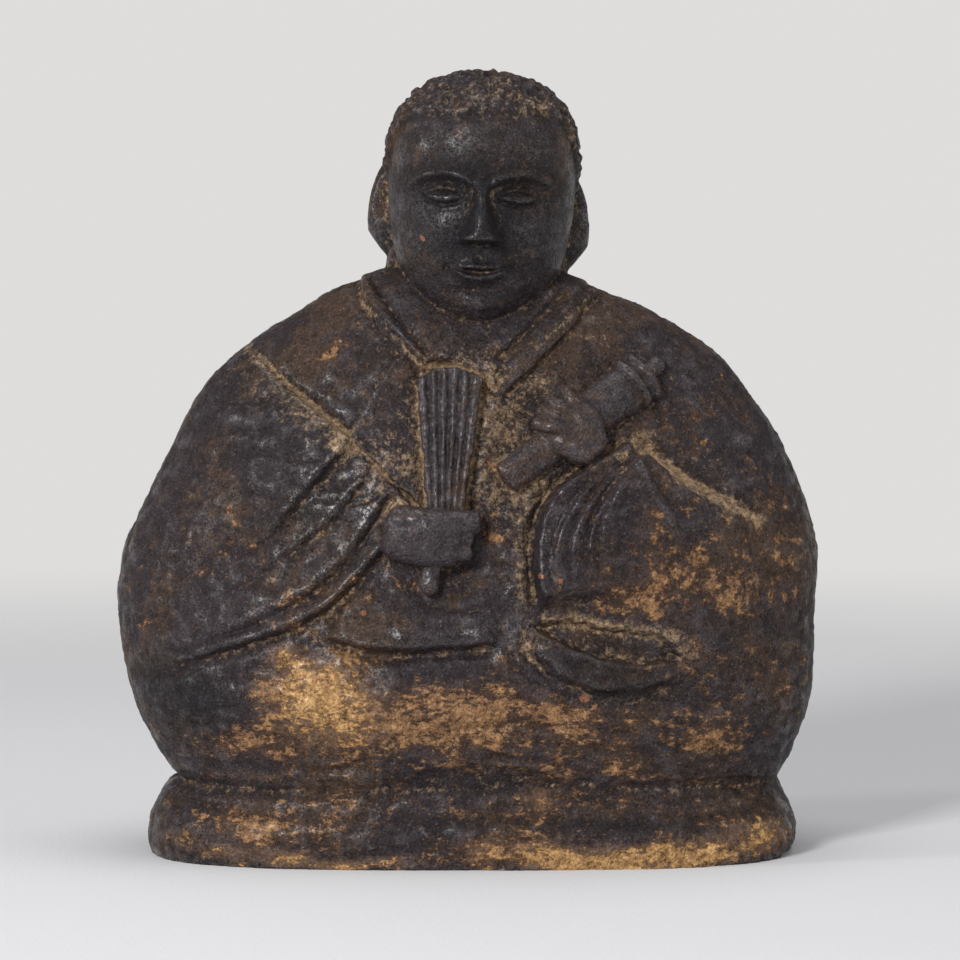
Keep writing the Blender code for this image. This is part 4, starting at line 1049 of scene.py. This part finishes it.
BARE_PLACES = [
    (-0.205, 0.225, 22.0, 15.0, 1.05, 0), (-0.165, 0.175, 26.0, 10.0, 0.6, 0),
    (-0.261, 0.272, 8.5, 6.5, 0.5, 0), (-0.307, 0.114, 19.6, 3.3, 0.45, 0),
    (-0.251, 0.013, 11.1, 4.6, 0.8, 0), (-0.181, 0.003, 9.8, 2.9, 0.8, 0),
    (0.310, 0.018, 32.0, 6.6, 1.0, 0), (0.430, 0.034, 9.5, 7.5, 0.6, 0),
    (0.200, 0.010, 26.0, 5.2, 0.9, 0), (0.098, 0.021, 16.0, 7.0, 0.7, 0),
    (0.014, 0.026, 9.5, 7.8, 0.6, 0), (0.384, 0.046, 14.4, 4.6, 0.4, 0),
    (-0.10, 0.012, 24.0, 5.0, 0.5, 0), (-0.34, 0.020, 18.0, 5.0, 0.6, 0),
    (0.056, 0.093, 19.6, 3.9, 0.35, 0), (0.098, 0.086, 5.9, 9.8, 0.4, 0),
    (0.167, 0.005, 13.1, 2.6, 0.7, 0),
]
print(len(RUBBED_PLACES), "places are rubbed and", len(BARE_PLACES), "are bare")

# %% Note the dusty, dark, hazy, glossy and chipped places
# Written in the same way. A dusty line has its half width in cuts and its strength.
DUSTY_PLACES = [
    (-0.119, 0.501, 11.8, 11.8, 0.55, 0), (-0.174, 0.533, 6.5, 5.2, 0.9, 0),
    (-0.091, 0.453, 7.2, 3.3, 1.0, 0), (0.042, 0.599, 7.8, 13.1, 0.4, 0),
    (0.105, 0.607, 7.2, 4.6, 0.7, 0), (0.160, 0.664, 9.8, 2.6, 0.4, 0), (0.209, 0.523, 6.5, 3.3, 0.7, 0),
    (0.241, 0.536, 6.5, 4.6, 0.9, 0), (0.042, 0.469, 8.5, 9.8, 0.4, 0), (0.081, 0.482, 8.5, 6.5, 0.5, 0),
    (0.070, 0.388, 3.9, 19.6, 0.35, 0), (0.084, 0.287, 6.5, 7.8, 0.6, 0),
    (0.307, 0.275, 4.6, 6.5, 0.9, 0), (-0.307, 0.589, 13.1, 9.8, 0.2, 0),
    (-0.237, 0.564, 9.8, 7.2, 0.3, 0), (0.042, 0.984, 9.8, 3.3, 0.5, 0), (0.098, 0.955, 7.8, 3.9, 0.7, 0),
    (0.144, 0.928, 3.3, 11.1, 0.6, 0),
]
DARK_PLACES = [
    (-0.384, 0.212, 16.3, 11.8, 1.2, 0), (-0.446, 0.224, 6.5, 9.8, 0.6, 0),
    (-0.035, 0.413, 14.4, 8.5, 0.9, 0), (-0.031, 0.538, 8.5, 19.6, 0.7, 0),
    (0.209, 0.224, 18.3, 5.9, 1.0, 0), (0.167, 0.262, 16.3, 6.5, 0.6, 0),
    (-0.223, 0.451, 19.6, 11.1, 0.6, 0), (-0.195, 0.388, 19.6, 6.5, 0.5, 0),
    (0.140, 0.564, 11.1, 11.1, 0.6, 0), (0.209, 0.595, 9.8, 9.1, 0.6, 0),
    (0.098, 0.363, 2.6, 19.6, 0.8, 0), (0.000, 0.111, 29.4, 5.2, 0.4, 0),
    (-0.285, 0.560, 28.0, 24.0, 0.45, 0), (0.181, 0.055, 39.2, 2.6, 0.6, 0),
    (-0.028, 0.049, 19.6, 3.3, 0.5, 0), (0.010, 0.820, 34.0, 36.0, 1.3, 0),
]
HAZY_PLACES = [
    (-0.310, 0.560, 34.0, 34.0, 0.10, 0), (-0.120, 0.505, 22.0, 22.0, 0.75, 0),
    (0.050, 0.530, 22.0, 44.0, 0.95, 0), (0.280, 0.600, 30.0, 30.0, 0.42, 0),
    (-0.10, 0.640, 30.0, 20.0, 0.32, 0), (0.160, 0.300, 50.0, 16.0, 0.25, 0),
    (0.340, 0.470, 36.0, 14.0, 0.35, 0), (0.0, 0.110, 110.0, 8.0, 0.25, 0),
    (-0.400, 0.420, 20.0, 40.0, 0.25, 0), (0.060, 0.960, 30.0, 12.0, 0.65, 0),
    (-0.060, 0.970, 22.0, 10.0, 0.60, 0),
]
GLOSSY_PLACES = [
    (0.0, 0.790, 24.0, 26.0, 0.3, 0), (-0.150, 0.470, 16.0, 9.0, 0.6, 0.9),
    (-0.230, 0.470, 10.0, 10.0, 0.4, 0), (-0.110, 0.440, 9.0, 9.0, 0.8, 0.9),
    (0.115, 0.420, 7.0, 26.0, 0.9, 0), (-0.060, 0.285, 40.0, 5.0, 0.7, 0),
    (0.200, 0.215, 24.0, 7.0, 0.6, 0), (-0.170, 0.300, 16.0, 4.0, 0.5, 0),
    (0.020, 0.300, 16.0, 6.0, 0.5, 0),
]
CHIPPED_PLACES = [
    (-0.149, 0.324, 1.7, 1.4, 1.2, 0), (0.159, 0.217, 2.0, 1.6, 1.2, 0), (0.099, 0.371, 1.5, 1.4, 1.0, 0),
    (-0.066, 0.790, 1.4, 1.7, 1.0, 0), (0.126, 0.365, 1.4, 1.8, 1.0, 0),
]
DUSTY_LINES = [
    (ARM_FURROW, 1.7, 0.55), (ARM_VALLEY, 1.8, 0.8), (HANGING_EDGE - (5 * CUT, 0), 3.0, 0.35),
    (FAN, 5.5, 0.50), (drawn([(0.095, 0.318), (0.179, 0.309), (0.300, 0.292)]), 2.4, 0.8),
    (COLLAR_EDGE, 1.5, 0.45), (ARM_VALLEY - (0, 2 * CUT), 5.0, 0.2),
    (ARM_FURROW - (2 * CUT, 3 * CUT), 6.0, 0.2),
]
print(len(DUSTY_PLACES), "places and", len(DUSTY_LINES), "lines are dusty")

# %% Spread the marks over the skin
def placed(spots):
    """How strongly each point of the front is touched by the soft oval spots."""
    x, y, z = (places + (middle[0], middle[1], 0)).T
    total = np.zeros(len(places))
    for across, up, wide, high, strength, turn in spots:
        total += strength * mound(x, z, (across, up), (wide, high), 1 / CUT, turn)
    return total * ease((0.15 - outwards[:, 1]) / 0.4)


def along(lines):
    """How strongly each point of the front is touched by the soft lines."""
    x, y, z = (places + (middle[0], middle[1], 0)).T
    facing = outwards[:, 1] < 0.1
    total = np.zeros(len(places))
    for line, width, strength in lines:
        away, share = measure(line, x[facing], z[facing])
        total[facing] += strength * np.exp(-((away / (width * CUT)) ** 2)) * faded(share, 0.05, 0.05)
    return total


def proud():
    """1 where a form, such as the fan or a hand, stands out from the robe."""
    x, y, z = (places + (middle[0], middle[1], 0)).T
    near_hands = (np.abs(x / WIDTH - 0.06) < 0.22) & (np.abs(z / HEIGHT - 0.49) < 0.16) & (y < 0)
    lift = np.zeros(len(places))
    x, y, z = x[near_hands], y[near_hands], z[near_hands]
    lift[near_hands] = (front_of_block(x, z) - robe_relief(x, z) - y) / CUT
    return ease((lift - 0.8) / 1.2)


MARKS = {
    "bedded": ease((0.36 - places[:, 2] / HEIGHT) / 0.12),
    "hollow": hollow,
    "valley": valley,
    "ridge": ridge,
    "rubbed": placed(RUBBED_PLACES),
    "bare": placed(BARE_PLACES),
    "dusty": placed(DUSTY_PLACES) + along(DUSTY_LINES),
    "hazy": placed(HAZY_PLACES),
    "dark": placed(DARK_PLACES),
    "chipped": placed(CHIPPED_PLACES),
    "proud": proud(),
    "glossy": placed(GLOSSY_PLACES),
}
for name, values in MARKS.items():
    mark = monk.data.attributes.new(name, "FLOAT", "POINT")
    mark.data.foreach_set("value", values.astype(np.float32))
    print(name, "reaches", round(float(values.max()), 2))

# %% [markdown]
# ## Ways to mottle a stone
#
# Two effects come back again and again, so each is a node group. One turns a smooth amount into a crisp,
# ragged mask, the way a dark skin flakes off. The other gives the fine pits and grains of the stone. Both
# read the object's own coordinates, so they stay put when the figure is turned.

# %% Wire nodes with few words
def node(tree, kind, inputs=None, **settings):
    """A new node in the tree, with its settings and inputs set or linked."""
    made = tree.nodes.new(kind)
    for name, value in settings.items():
        setattr(made, name, value)
    for name, value in (inputs or {}).items():
        if isinstance(value, bpy.types.NodeSocket):
            tree.links.new(value, made.inputs[name])
        else:
            made.inputs[name].default_value = value
    return made


def calc(tree, operation, *values):
    """The result of a math node."""
    return node(tree, "ShaderNodeMath", dict(enumerate(values)), operation=operation).outputs[0]


def plus(tree, first, second):
    """The sum."""
    return calc(tree, "ADD", first, second)


def less(tree, first, second):
    """The first less the second."""
    return calc(tree, "SUBTRACT", first, second)


def times(tree, first, second):
    """The product."""
    return calc(tree, "MULTIPLY", first, second)


def most(tree, first, second):
    """The greater of the two."""
    return calc(tree, "MAXIMUM", first, second)


def least(tree, first, second):
    """The smaller of the two."""
    return calc(tree, "MINIMUM", first, second)


def between(tree, value, low, high):
    """A smooth step: 0 where the value is below low and 1 above high."""
    inputs = {"Value": value, "From Min": low, "From Max": high}
    return node(tree, "ShaderNodeMapRange", inputs, interpolation_type="SMOOTHSTEP").outputs["Result"]


def over(tree, under, upper, mask):
    """The upper colour laid over the under one where the mask is 1."""
    return node(tree, "ShaderNodeMix", {0: mask, 6: under, 7: upper}, data_type="RGBA").outputs[2]


def noise(tree, size, detail=4.0, roughness=0.55, flat=1.0):
    """Noise with features of about that size in metres, made longer than high by flat."""
    own = node(tree, "ShaderNodeTexCoord").outputs["Object"]
    placed_at = node(tree, "ShaderNodeMapping", {"Vector": own, "Scale": (1, 1, flat)}).outputs["Vector"]
    inputs = {"Vector": placed_at, "Scale": 1 / size, "Detail": detail, "Roughness": roughness}
    return node(tree, "ShaderNodeTexNoise", inputs).outputs["Fac"]


def paint(red, green, blue):
    """A colour as a painter would name it, from 0 to 255, turned into light."""
    shares = np.array((red, green, blue)) / 255
    light = np.where(shares < 0.04045, shares / 12.92, ((shares + 0.055) / 1.055) ** 2.4)
    return (*(float(share) for share in light), 1.0)


def node_group(name, takes, gives):
    """An empty node group with number sockets, and its two end nodes."""
    tree = bpy.data.node_groups.new(name, "ShaderNodeTree")
    for socket, value in takes.items():
        made = tree.interface.new_socket(socket, in_out="INPUT", socket_type="NodeSocketFloat")
        made.default_value = value
    for socket in gives:
        tree.interface.new_socket(socket, in_out="OUTPUT", socket_type="NodeSocketFloat")
    return tree, tree.nodes.new("NodeGroupInput"), tree.nodes.new("NodeGroupOutput")


print("a dark skin is", [round(part, 3) for part in paint(50, 46, 48)])

# %% Make the flaking and the grain
def make_flaking():
    """Turns an amount from 0 to 1 into ragged flakes that cover about that share, and their worn cores."""
    tree, taken, given = node_group("flaking", {"Amount": 0.5, "Bedding": 0.0}, ["Mask", "Core"])
    broad = noise(tree, 0.014, detail=3.0, flat=1.5)
    even = noise(tree, 0.0046, detail=9.0, roughness=0.78, flat=1.1)
    bedded = noise(tree, 0.0046, detail=9.0, roughness=0.80, flat=1.9)
    fine = node(tree, "ShaderNodeMix", {0: taken.outputs["Bedding"], 2: even, 3: bedded}).outputs[0]
    mixed = plus(tree, times(tree, broad, 0.26), times(tree, fine, 0.74))
    # The mixed noise stays mostly within 0.13 of its middle, so that is stretched to the full range.
    asked = times(tree, less(tree, taken.outputs["Amount"], 0.5), 0.26)
    level = plus(tree, less(tree, mixed, 0.5), asked)
    tree.links.new(between(tree, level, -0.012, 0.016), given.inputs["Mask"])
    tree.links.new(between(tree, level, 0.010, 0.052), given.inputs["Core"])
    return tree


def make_grain():
    """The stone's fine surface: pits and grains as a height from 0 to 1, and specks as a mask."""
    tree, taken, given = node_group("stone_grain", {"Pits": 1.0}, ["Height", "Specks"])
    coarse = noise(tree, 0.0030, detail=4.0, roughness=0.7)
    fine = noise(tree, 0.0009, detail=2.0, roughness=0.6)
    grains = plus(tree, times(tree, coarse, 0.40), times(tree, fine, 0.60))
    own = node(tree, "ShaderNodeTexCoord").outputs["Object"]
    cells = node(tree, "ShaderNodeTexVoronoi", {"Vector": own, "Scale": 900.0, "Randomness": 1.0})
    pits = times(tree, between(tree, cells.outputs["Distance"], 0.32, 0.05), taken.outputs["Pits"])
    tree.links.new(less(tree, grains, times(tree, pits, 0.16)), given.inputs["Height"])
    specks = between(tree, noise(tree, 0.0010, detail=3.0, roughness=0.7), 0.60, 0.68)
    tree.links.new(specks, given.inputs["Specks"])
    return tree


FLAKING, GRAIN_NODES = make_flaking(), make_grain()
print("groups:", [group.name for group in bpy.data.node_groups])

# %% [markdown]
# ## The stone's finish
#
# The colours are laid on in the order they came. First is the dark skin of smoke and oil, with a brown
# stain in it, and a lighter grey on the fan, the hands and the scroll that is a painted sheen. Then it
# is rubbed through to orange-brown, and in a few places to the pale stone itself. The hollows are
# darkened with painted shade, and the dust lies over all of them. Every colour is written from 0 to
# 255, as a painter would read it off a chart. Those that come in crumbs have a dark and a light version.

# %% Name the colours
COLOURS = {
    "skin": (35, 29, 32), "brown_skin": (36, 28, 25), "grey_skin": (53, 47, 50), "black_skin": (17, 15, 18),
    "painted_sheen_grey": (62, 56, 59), "stain": (58, 43, 34), "speck": (104, 94, 88), "halo": (62, 46, 36),
    "rubbed_dark": (66, 48, 38), "rubbed_light": (106, 78, 54),
    "worn_dark": (98, 72, 50), "worn_light": (146, 110, 74), "undercoat": (96, 74, 58),
    "bare_dark": (98, 73, 48), "bare_light": (146, 110, 70),
    "pale_dark": (122, 91, 59), "pale_light": (172, 136, 90),
    "painted_hollow_shade": (20, 16, 15), "dust_dark": (102, 84, 66), "dust_light": (142, 119, 92), "chip": (104, 66, 48),
}


def tint(name):
    """A colour from the list, as light."""
    return paint(*COLOURS[name])


def crumbly(tree, name, crumb, low=0.40, high=0.64):
    """The dark and the light version of a colour, mixed in crumbs."""
    return over(tree, tint(f"{name}_dark"), tint(f"{name}_light"), between(tree, crumb, low, high))


print("there are", len(COLOURS), "colours")

# %% Lay on the dark skin
def flakes(tree, amount, bedding):
    """The ragged mask and its core, for an amount of wear."""
    made = node(tree, "ShaderNodeGroup", node_tree=FLAKING)
    tree.links.new(amount, made.inputs["Amount"])
    tree.links.new(bedding, made.inputs["Bedding"])
    return made.outputs["Mask"], made.outputs["Core"]


def dark_skin(tree, mark, broad, patch, specks):
    """The colour of the skin, with its brown stain, its pale specks and a painted sheen on the raised forms.
    """
    colour = over(tree, tint("skin"), tint("brown_skin"), between(tree, broad, 0.40, 0.60))
    colour = over(tree, colour, tint("grey_skin"), between(tree, patch, 0.50, 0.70))
    colour = over(tree, colour, tint("black_skin"), times(tree, mark["dark"], 0.80))
    # Painted sheen: the fan, the hands and the scroll get a lighter grey where they stand out.
    colour = over(tree, colour, tint("painted_sheen_grey"), times(tree, mark["proud"], 0.30))
    stain = less(tree, 0.50, times(tree, mark["dark"], 0.40))
    stain = plus(tree, stain, times(tree, less(tree, broad, 0.55), 1.6))
    stain, _ = flakes(tree, most(tree, stain, 0.0), mark["bedded"])
    colour = over(tree, colour, tint("stain"), times(tree, stain, 0.70))
    speck = most(tree, less(tree, 0.45, times(tree, mark["dark"], 0.25)), 0.0)
    return over(tree, colour, tint("speck"), times(tree, specks, speck))


print("the skin is", COLOURS["skin"])

# %% Rub it through to the stone
def rubbed_through(tree, mark, colour, broad, crumb, shut):
    """The colour with the worn places on it, and their mask. The hands and the fan are shut off from it."""
    rub = times(tree, mark["rubbed"], 0.50)
    rub = plus(tree, rub, times(tree, mark["ridge"], 0.14))
    rub = less(tree, rub, times(tree, mark["dark"], 0.40))
    rub = plus(tree, rub, times(tree, less(tree, broad, 0.5), 0.5))
    rub = least(tree, times(tree, rub, shut), 0.70)
    halo = between(tree, plus(tree, rub, less(tree, crumb, 0.5)), 0.22, 0.62)
    colour = over(tree, colour, tint("halo"), times(tree, halo, 0.75))
    rub, core = flakes(tree, rub, mark["bedded"])
    colour = over(tree, colour, crumbly(tree, "rubbed", crumb), times(tree, rub, 0.85))
    return over(tree, colour, crumbly(tree, "worn", crumb), times(tree, core, 0.85)), rub


def laid_bare(tree, mark, colour, crumb):
    """The colour with the bare stone on it, and its mask."""
    bare = less(tree, mark["bare"], times(tree, mark["dark"], 0.3))
    pale = between(tree, plus(tree, bare, less(tree, crumb, 0.5)), 0.20, 0.75)
    colour = over(tree, colour, tint("undercoat"), times(tree, pale, 0.8))
    bare = least(tree, times(tree, bare, 0.74), 0.76)
    bare, clean = flakes(tree, bare, mark["bedded"])
    colour = over(tree, colour, crumbly(tree, "bare", crumb, low=0.38), bare)
    return over(tree, colour, crumbly(tree, "pale", crumb, low=0.38), clean), bare


print("the bare stone is", COLOURS["pale_light"])

# %% Let the dust settle
def dusted(tree, mark, colour, crumb, shut):
    """The colour with painted shade in the hollows, dust in them, the few chips, and the dust's mask."""
    # Painted shade: the hollows are darkened towards a near black, where shade falls.
    colour = over(tree, colour, tint("painted_hollow_shade"), times(tree, mark["hollow"], 0.40))
    deep = times(tree, mark["hollow"], times(tree, mark["valley"], 0.6))
    settled = times(tree, plus(tree, mark["dusty"], deep), shut)
    scattered = times(tree, times(tree, mark["hazy"], 0.56), shut)
    scattered = plus(tree, scattered, times(tree, settled, 0.45))
    ragged = times(tree, less(tree, crumb, 0.5), 3.4)
    dust = between(tree, plus(tree, settled, ragged), 0.25, 1.15)
    powder = between(tree, plus(tree, scattered, ragged), 0.42, 0.85)
    dust = most(tree, times(tree, dust, 0.80), times(tree, powder, 0.50))
    dust = times(tree, dust, less(tree, 1.0, times(tree, mark["dark"], 0.35)))
    colour = over(tree, colour, crumbly(tree, "dust", crumb, high=0.62), dust)
    chip = between(tree, plus(tree, mark["chipped"], times(tree, ragged, 0.4)), 0.45, 0.6)
    return over(tree, colour, tint("chip"), chip), dust


print("the dust is", COLOURS["dust_light"])

# %% [markdown]
# ## Gloss and grain
#
# Oil and many hands have polished the ridges, the face and the hands, while worn stone and dust stay dull.
# A clear coat does that best: its weight follows the polish, so only the polished places get it, and a
# fine noise breaks it into grains. Under it the skin is rough and shines little. The grain itself is a
# small height for the bump, and a grey tone that darkens the pits.

# %% Polish it and give it its grain
def polished(tree, shader, mark, patch, crumb, masks):
    """Wires the roughness and the clear coat, from the polish and the masks of what dulls it."""
    rub, bare, dust = masks
    polish = most(tree, times(tree, mark["proud"], 0.45), mark["glossy"])
    polish = plus(tree, polish, times(tree, mark["ridge"], 0.50))
    polish = between(tree, plus(tree, polish, times(tree, less(tree, patch, 0.5), 1.6)), 0.0, 0.8)
    dull = less(tree, 0.62, times(tree, polish, 0.34))
    for mask, amount in ((rub, 0.16), (bare, 0.30), (dust, 0.40)):
        dull = plus(tree, dull, times(tree, mask, amount))
    dull = least(tree, less(tree, dull, times(tree, mark["ridge"], 0.14)), 0.96)
    tree.links.new(dull, shader.inputs["Roughness"])

    matt = most(tree, most(tree, rub, bare), dust)
    fine = noise(tree, 0.0007, detail=2.0, roughness=0.6)
    grainy = times(tree, between(tree, crumb, 0.36, 0.60), between(tree, fine, 0.36, 0.62))
    coat = times(tree, times(tree, polish, less(tree, 1.0, matt)), 0.60)
    coat = least(tree, times(tree, plus(tree, coat, mark["ridge"]), grainy), 1.0)
    tree.links.new(coat, shader.inputs["Coat Weight"])
    shader.inputs["Coat Roughness"].default_value = 0.34
    shader.inputs["Specular IOR Level"].default_value = 0.14


def toned(tree, colour, height):
    """The colour, darker in the grain's pits and lighter on its tops."""
    spread = {"From Min": 0.22, "From Max": 0.62, "To Min": 0.22, "To Max": 1.95}
    tone = node(tree, "ShaderNodeMapRange", {"Value": height, **spread}).outputs["Result"]
    grey = node(tree, "ShaderNodeCombineColor", {name: tone for name in ("Red", "Green", "Blue")})
    inputs = {0: 1.0, 6: colour, 7: grey.outputs["Color"]}
    return node(tree, "ShaderNodeMix", inputs, data_type="RGBA", blend_type="MULTIPLY").outputs[2]


def roughened(tree, shader, height, patch, rub, bare):
    """Wires the bump: the grain, the edge of the skin where it is rubbed off, and the broad patches."""
    skin_left = less(tree, 1.0, most(tree, rub, bare))
    raised = plus(tree, times(tree, height, 0.0014), times(tree, skin_left, 0.00010))
    raised = plus(tree, raised, times(tree, patch, 0.0016))
    bump = node(tree, "ShaderNodeBump", {"Height": raised, "Strength": 1.0, "Distance": 1.0})
    tree.links.new(bump.outputs["Normal"], shader.inputs["Normal"])


print("gloss and grain are ready to be wired")

# %% Put the finish together
def weathered_stone():
    """The one material of the figure."""
    made = bpy.data.materials.new("weathered_dark_stone")
    made.use_nodes = True
    tree = made.node_tree
    shader = tree.nodes["Principled BSDF"]
    mark = {
        name: node(tree, "ShaderNodeAttribute", attribute_name=name).outputs["Fac"] for name in MARKS
    }
    grain = node(tree, "ShaderNodeGroup", node_tree=GRAIN_NODES).outputs
    broad = noise(tree, 0.030, detail=3.0)
    patch = noise(tree, 0.009, detail=6.0, roughness=0.6, flat=1.4)
    crumb = noise(tree, 0.0022, detail=8.0, roughness=0.8)
    shut = less(tree, 1.0, times(tree, mark["proud"], 0.8))

    colour = dark_skin(tree, mark, broad, patch, grain["Specks"])
    colour, rub = rubbed_through(tree, mark, colour, broad, crumb, shut)
    colour, bare = laid_bare(tree, mark, colour, crumb)
    colour, dust = dusted(tree, mark, colour, crumb, shut)
    tree.links.new(toned(tree, colour, grain["Height"]), shader.inputs["Base Color"])
    polished(tree, shader, mark, patch, crumb, (rub, bare, dust))
    roughened(tree, shader, grain["Height"], patch, rub, bare)
    return made


monk.data.materials.clear()
monk.data.materials.append(weathered_stone())
print(monk.data.materials[0].name, "has", len(monk.data.materials[0].node_tree.nodes), "nodes")

# %% [markdown]
# ## The table, the light and the camera
#
# A pale floor and soft light are enough for a dark stone. The floor fades into the same pale grey as the
# surroundings, so no edge is seen behind the figure. Two small lamps at the left, the stronger one in
# front, draw the highlights on the ridges. A weak, larger one at the right and a broad one overhead open
# the shadows. The camera stands back almost two metres, with a long lens.

# %% Lay the floor
def pale_floor():
    """A round floor whose rim fades into the surroundings."""
    bpy.ops.object.select_all(action="DESELECT")
    bpy.ops.mesh.primitive_circle_add(vertices=96, radius=4.0, fill_type="NGON")
    floor = bpy.context.object
    floor.name = floor.data.name = "pale_floor"
    made = bpy.data.materials.new("pale_cloth")
    made.use_nodes = True
    tree = made.node_tree
    shader = tree.nodes["Principled BSDF"]
    own = node(tree, "ShaderNodeTexCoord").outputs["Object"]
    away = node(tree, "ShaderNodeVectorMath", {0: own}, operation="LENGTH").outputs["Value"]
    weave = noise(tree, 0.0015, detail=2.0)
    colour = over(tree, paint(208, 208, 210), paint(214, 214, 216), weave)
    tree.links.new(colour, shader.inputs["Base Color"])
    tree.links.new(between(tree, away, 1.10, 0.42), shader.inputs["Alpha"])
    bump = node(tree, "ShaderNodeBump", {"Height": weave, "Strength": 0.3, "Distance": 0.0005})
    tree.links.new(bump.outputs["Normal"], shader.inputs["Normal"])
    shader.inputs["Roughness"].default_value = 0.95
    shader.inputs["Specular IOR Level"].default_value = 0.1
    floor.data.materials.append(made)
    return floor


print(pale_floor().name)

# %% Light it
def soft_lamp(name, place, size, power, target=(0.0, 0.0, 0.13)):
    """A square lamp that faces the target."""
    lamp = bpy.data.lights.new(name, "AREA")
    lamp.energy = power
    lamp.size = size
    holder = bpy.data.objects.new(name, lamp)
    bpy.context.collection.objects.link(holder)
    holder.location = place
    holder.rotation_euler = (Vector(target) - Vector(place)).to_track_quat("-Z", "Y").to_euler()
    return holder


soft_lamp("window_left", (-0.80, -1.70, 1.00), 0.40, 34)
soft_lamp("window_side", (-1.90, -0.60, 0.75), 0.28, 12)
soft_lamp("wall_right", (1.5, -0.6, 0.9), 1.4, 7)
soft_lamp("ceiling", (0.1, 0.1, 2.2), 1.8, 25)
surroundings = bpy.context.scene.world or bpy.data.worlds.new("surroundings")
bpy.context.scene.world = surroundings
surroundings.use_nodes = True
sky = surroundings.node_tree
direction = node(sky, "ShaderNodeTexCoord").outputs["Generated"]
rise = node(sky, "ShaderNodeSeparateXYZ", {"Vector": direction}).outputs["Z"]
shade = over(sky, paint(222, 221, 220), paint(96, 96, 98), between(sky, rise, 0.08, 0.35))
sky.links.new(shade, sky.nodes["Background"].inputs["Color"])
print("lamps:", [lamp.name for lamp in bpy.data.lights])

# %% Stand the camera in front
lens = bpy.data.cameras.new("camera")
lens.sensor_width = 36
lens.lens = 213
camera = bpy.data.objects.new("camera", lens)
bpy.context.collection.objects.link(camera)
camera.location = (0.0042, -1.896, 0.268)
aim = Vector((0.0042, 0.0, 0.1235)) - camera.location
camera.rotation_euler = aim.to_track_quat("-Z", "Y").to_euler()
bpy.context.scene.camera = camera
bpy.context.scene.view_settings.view_transform = "Standard"
print("the camera is", round(aim.length, 2), "m away")
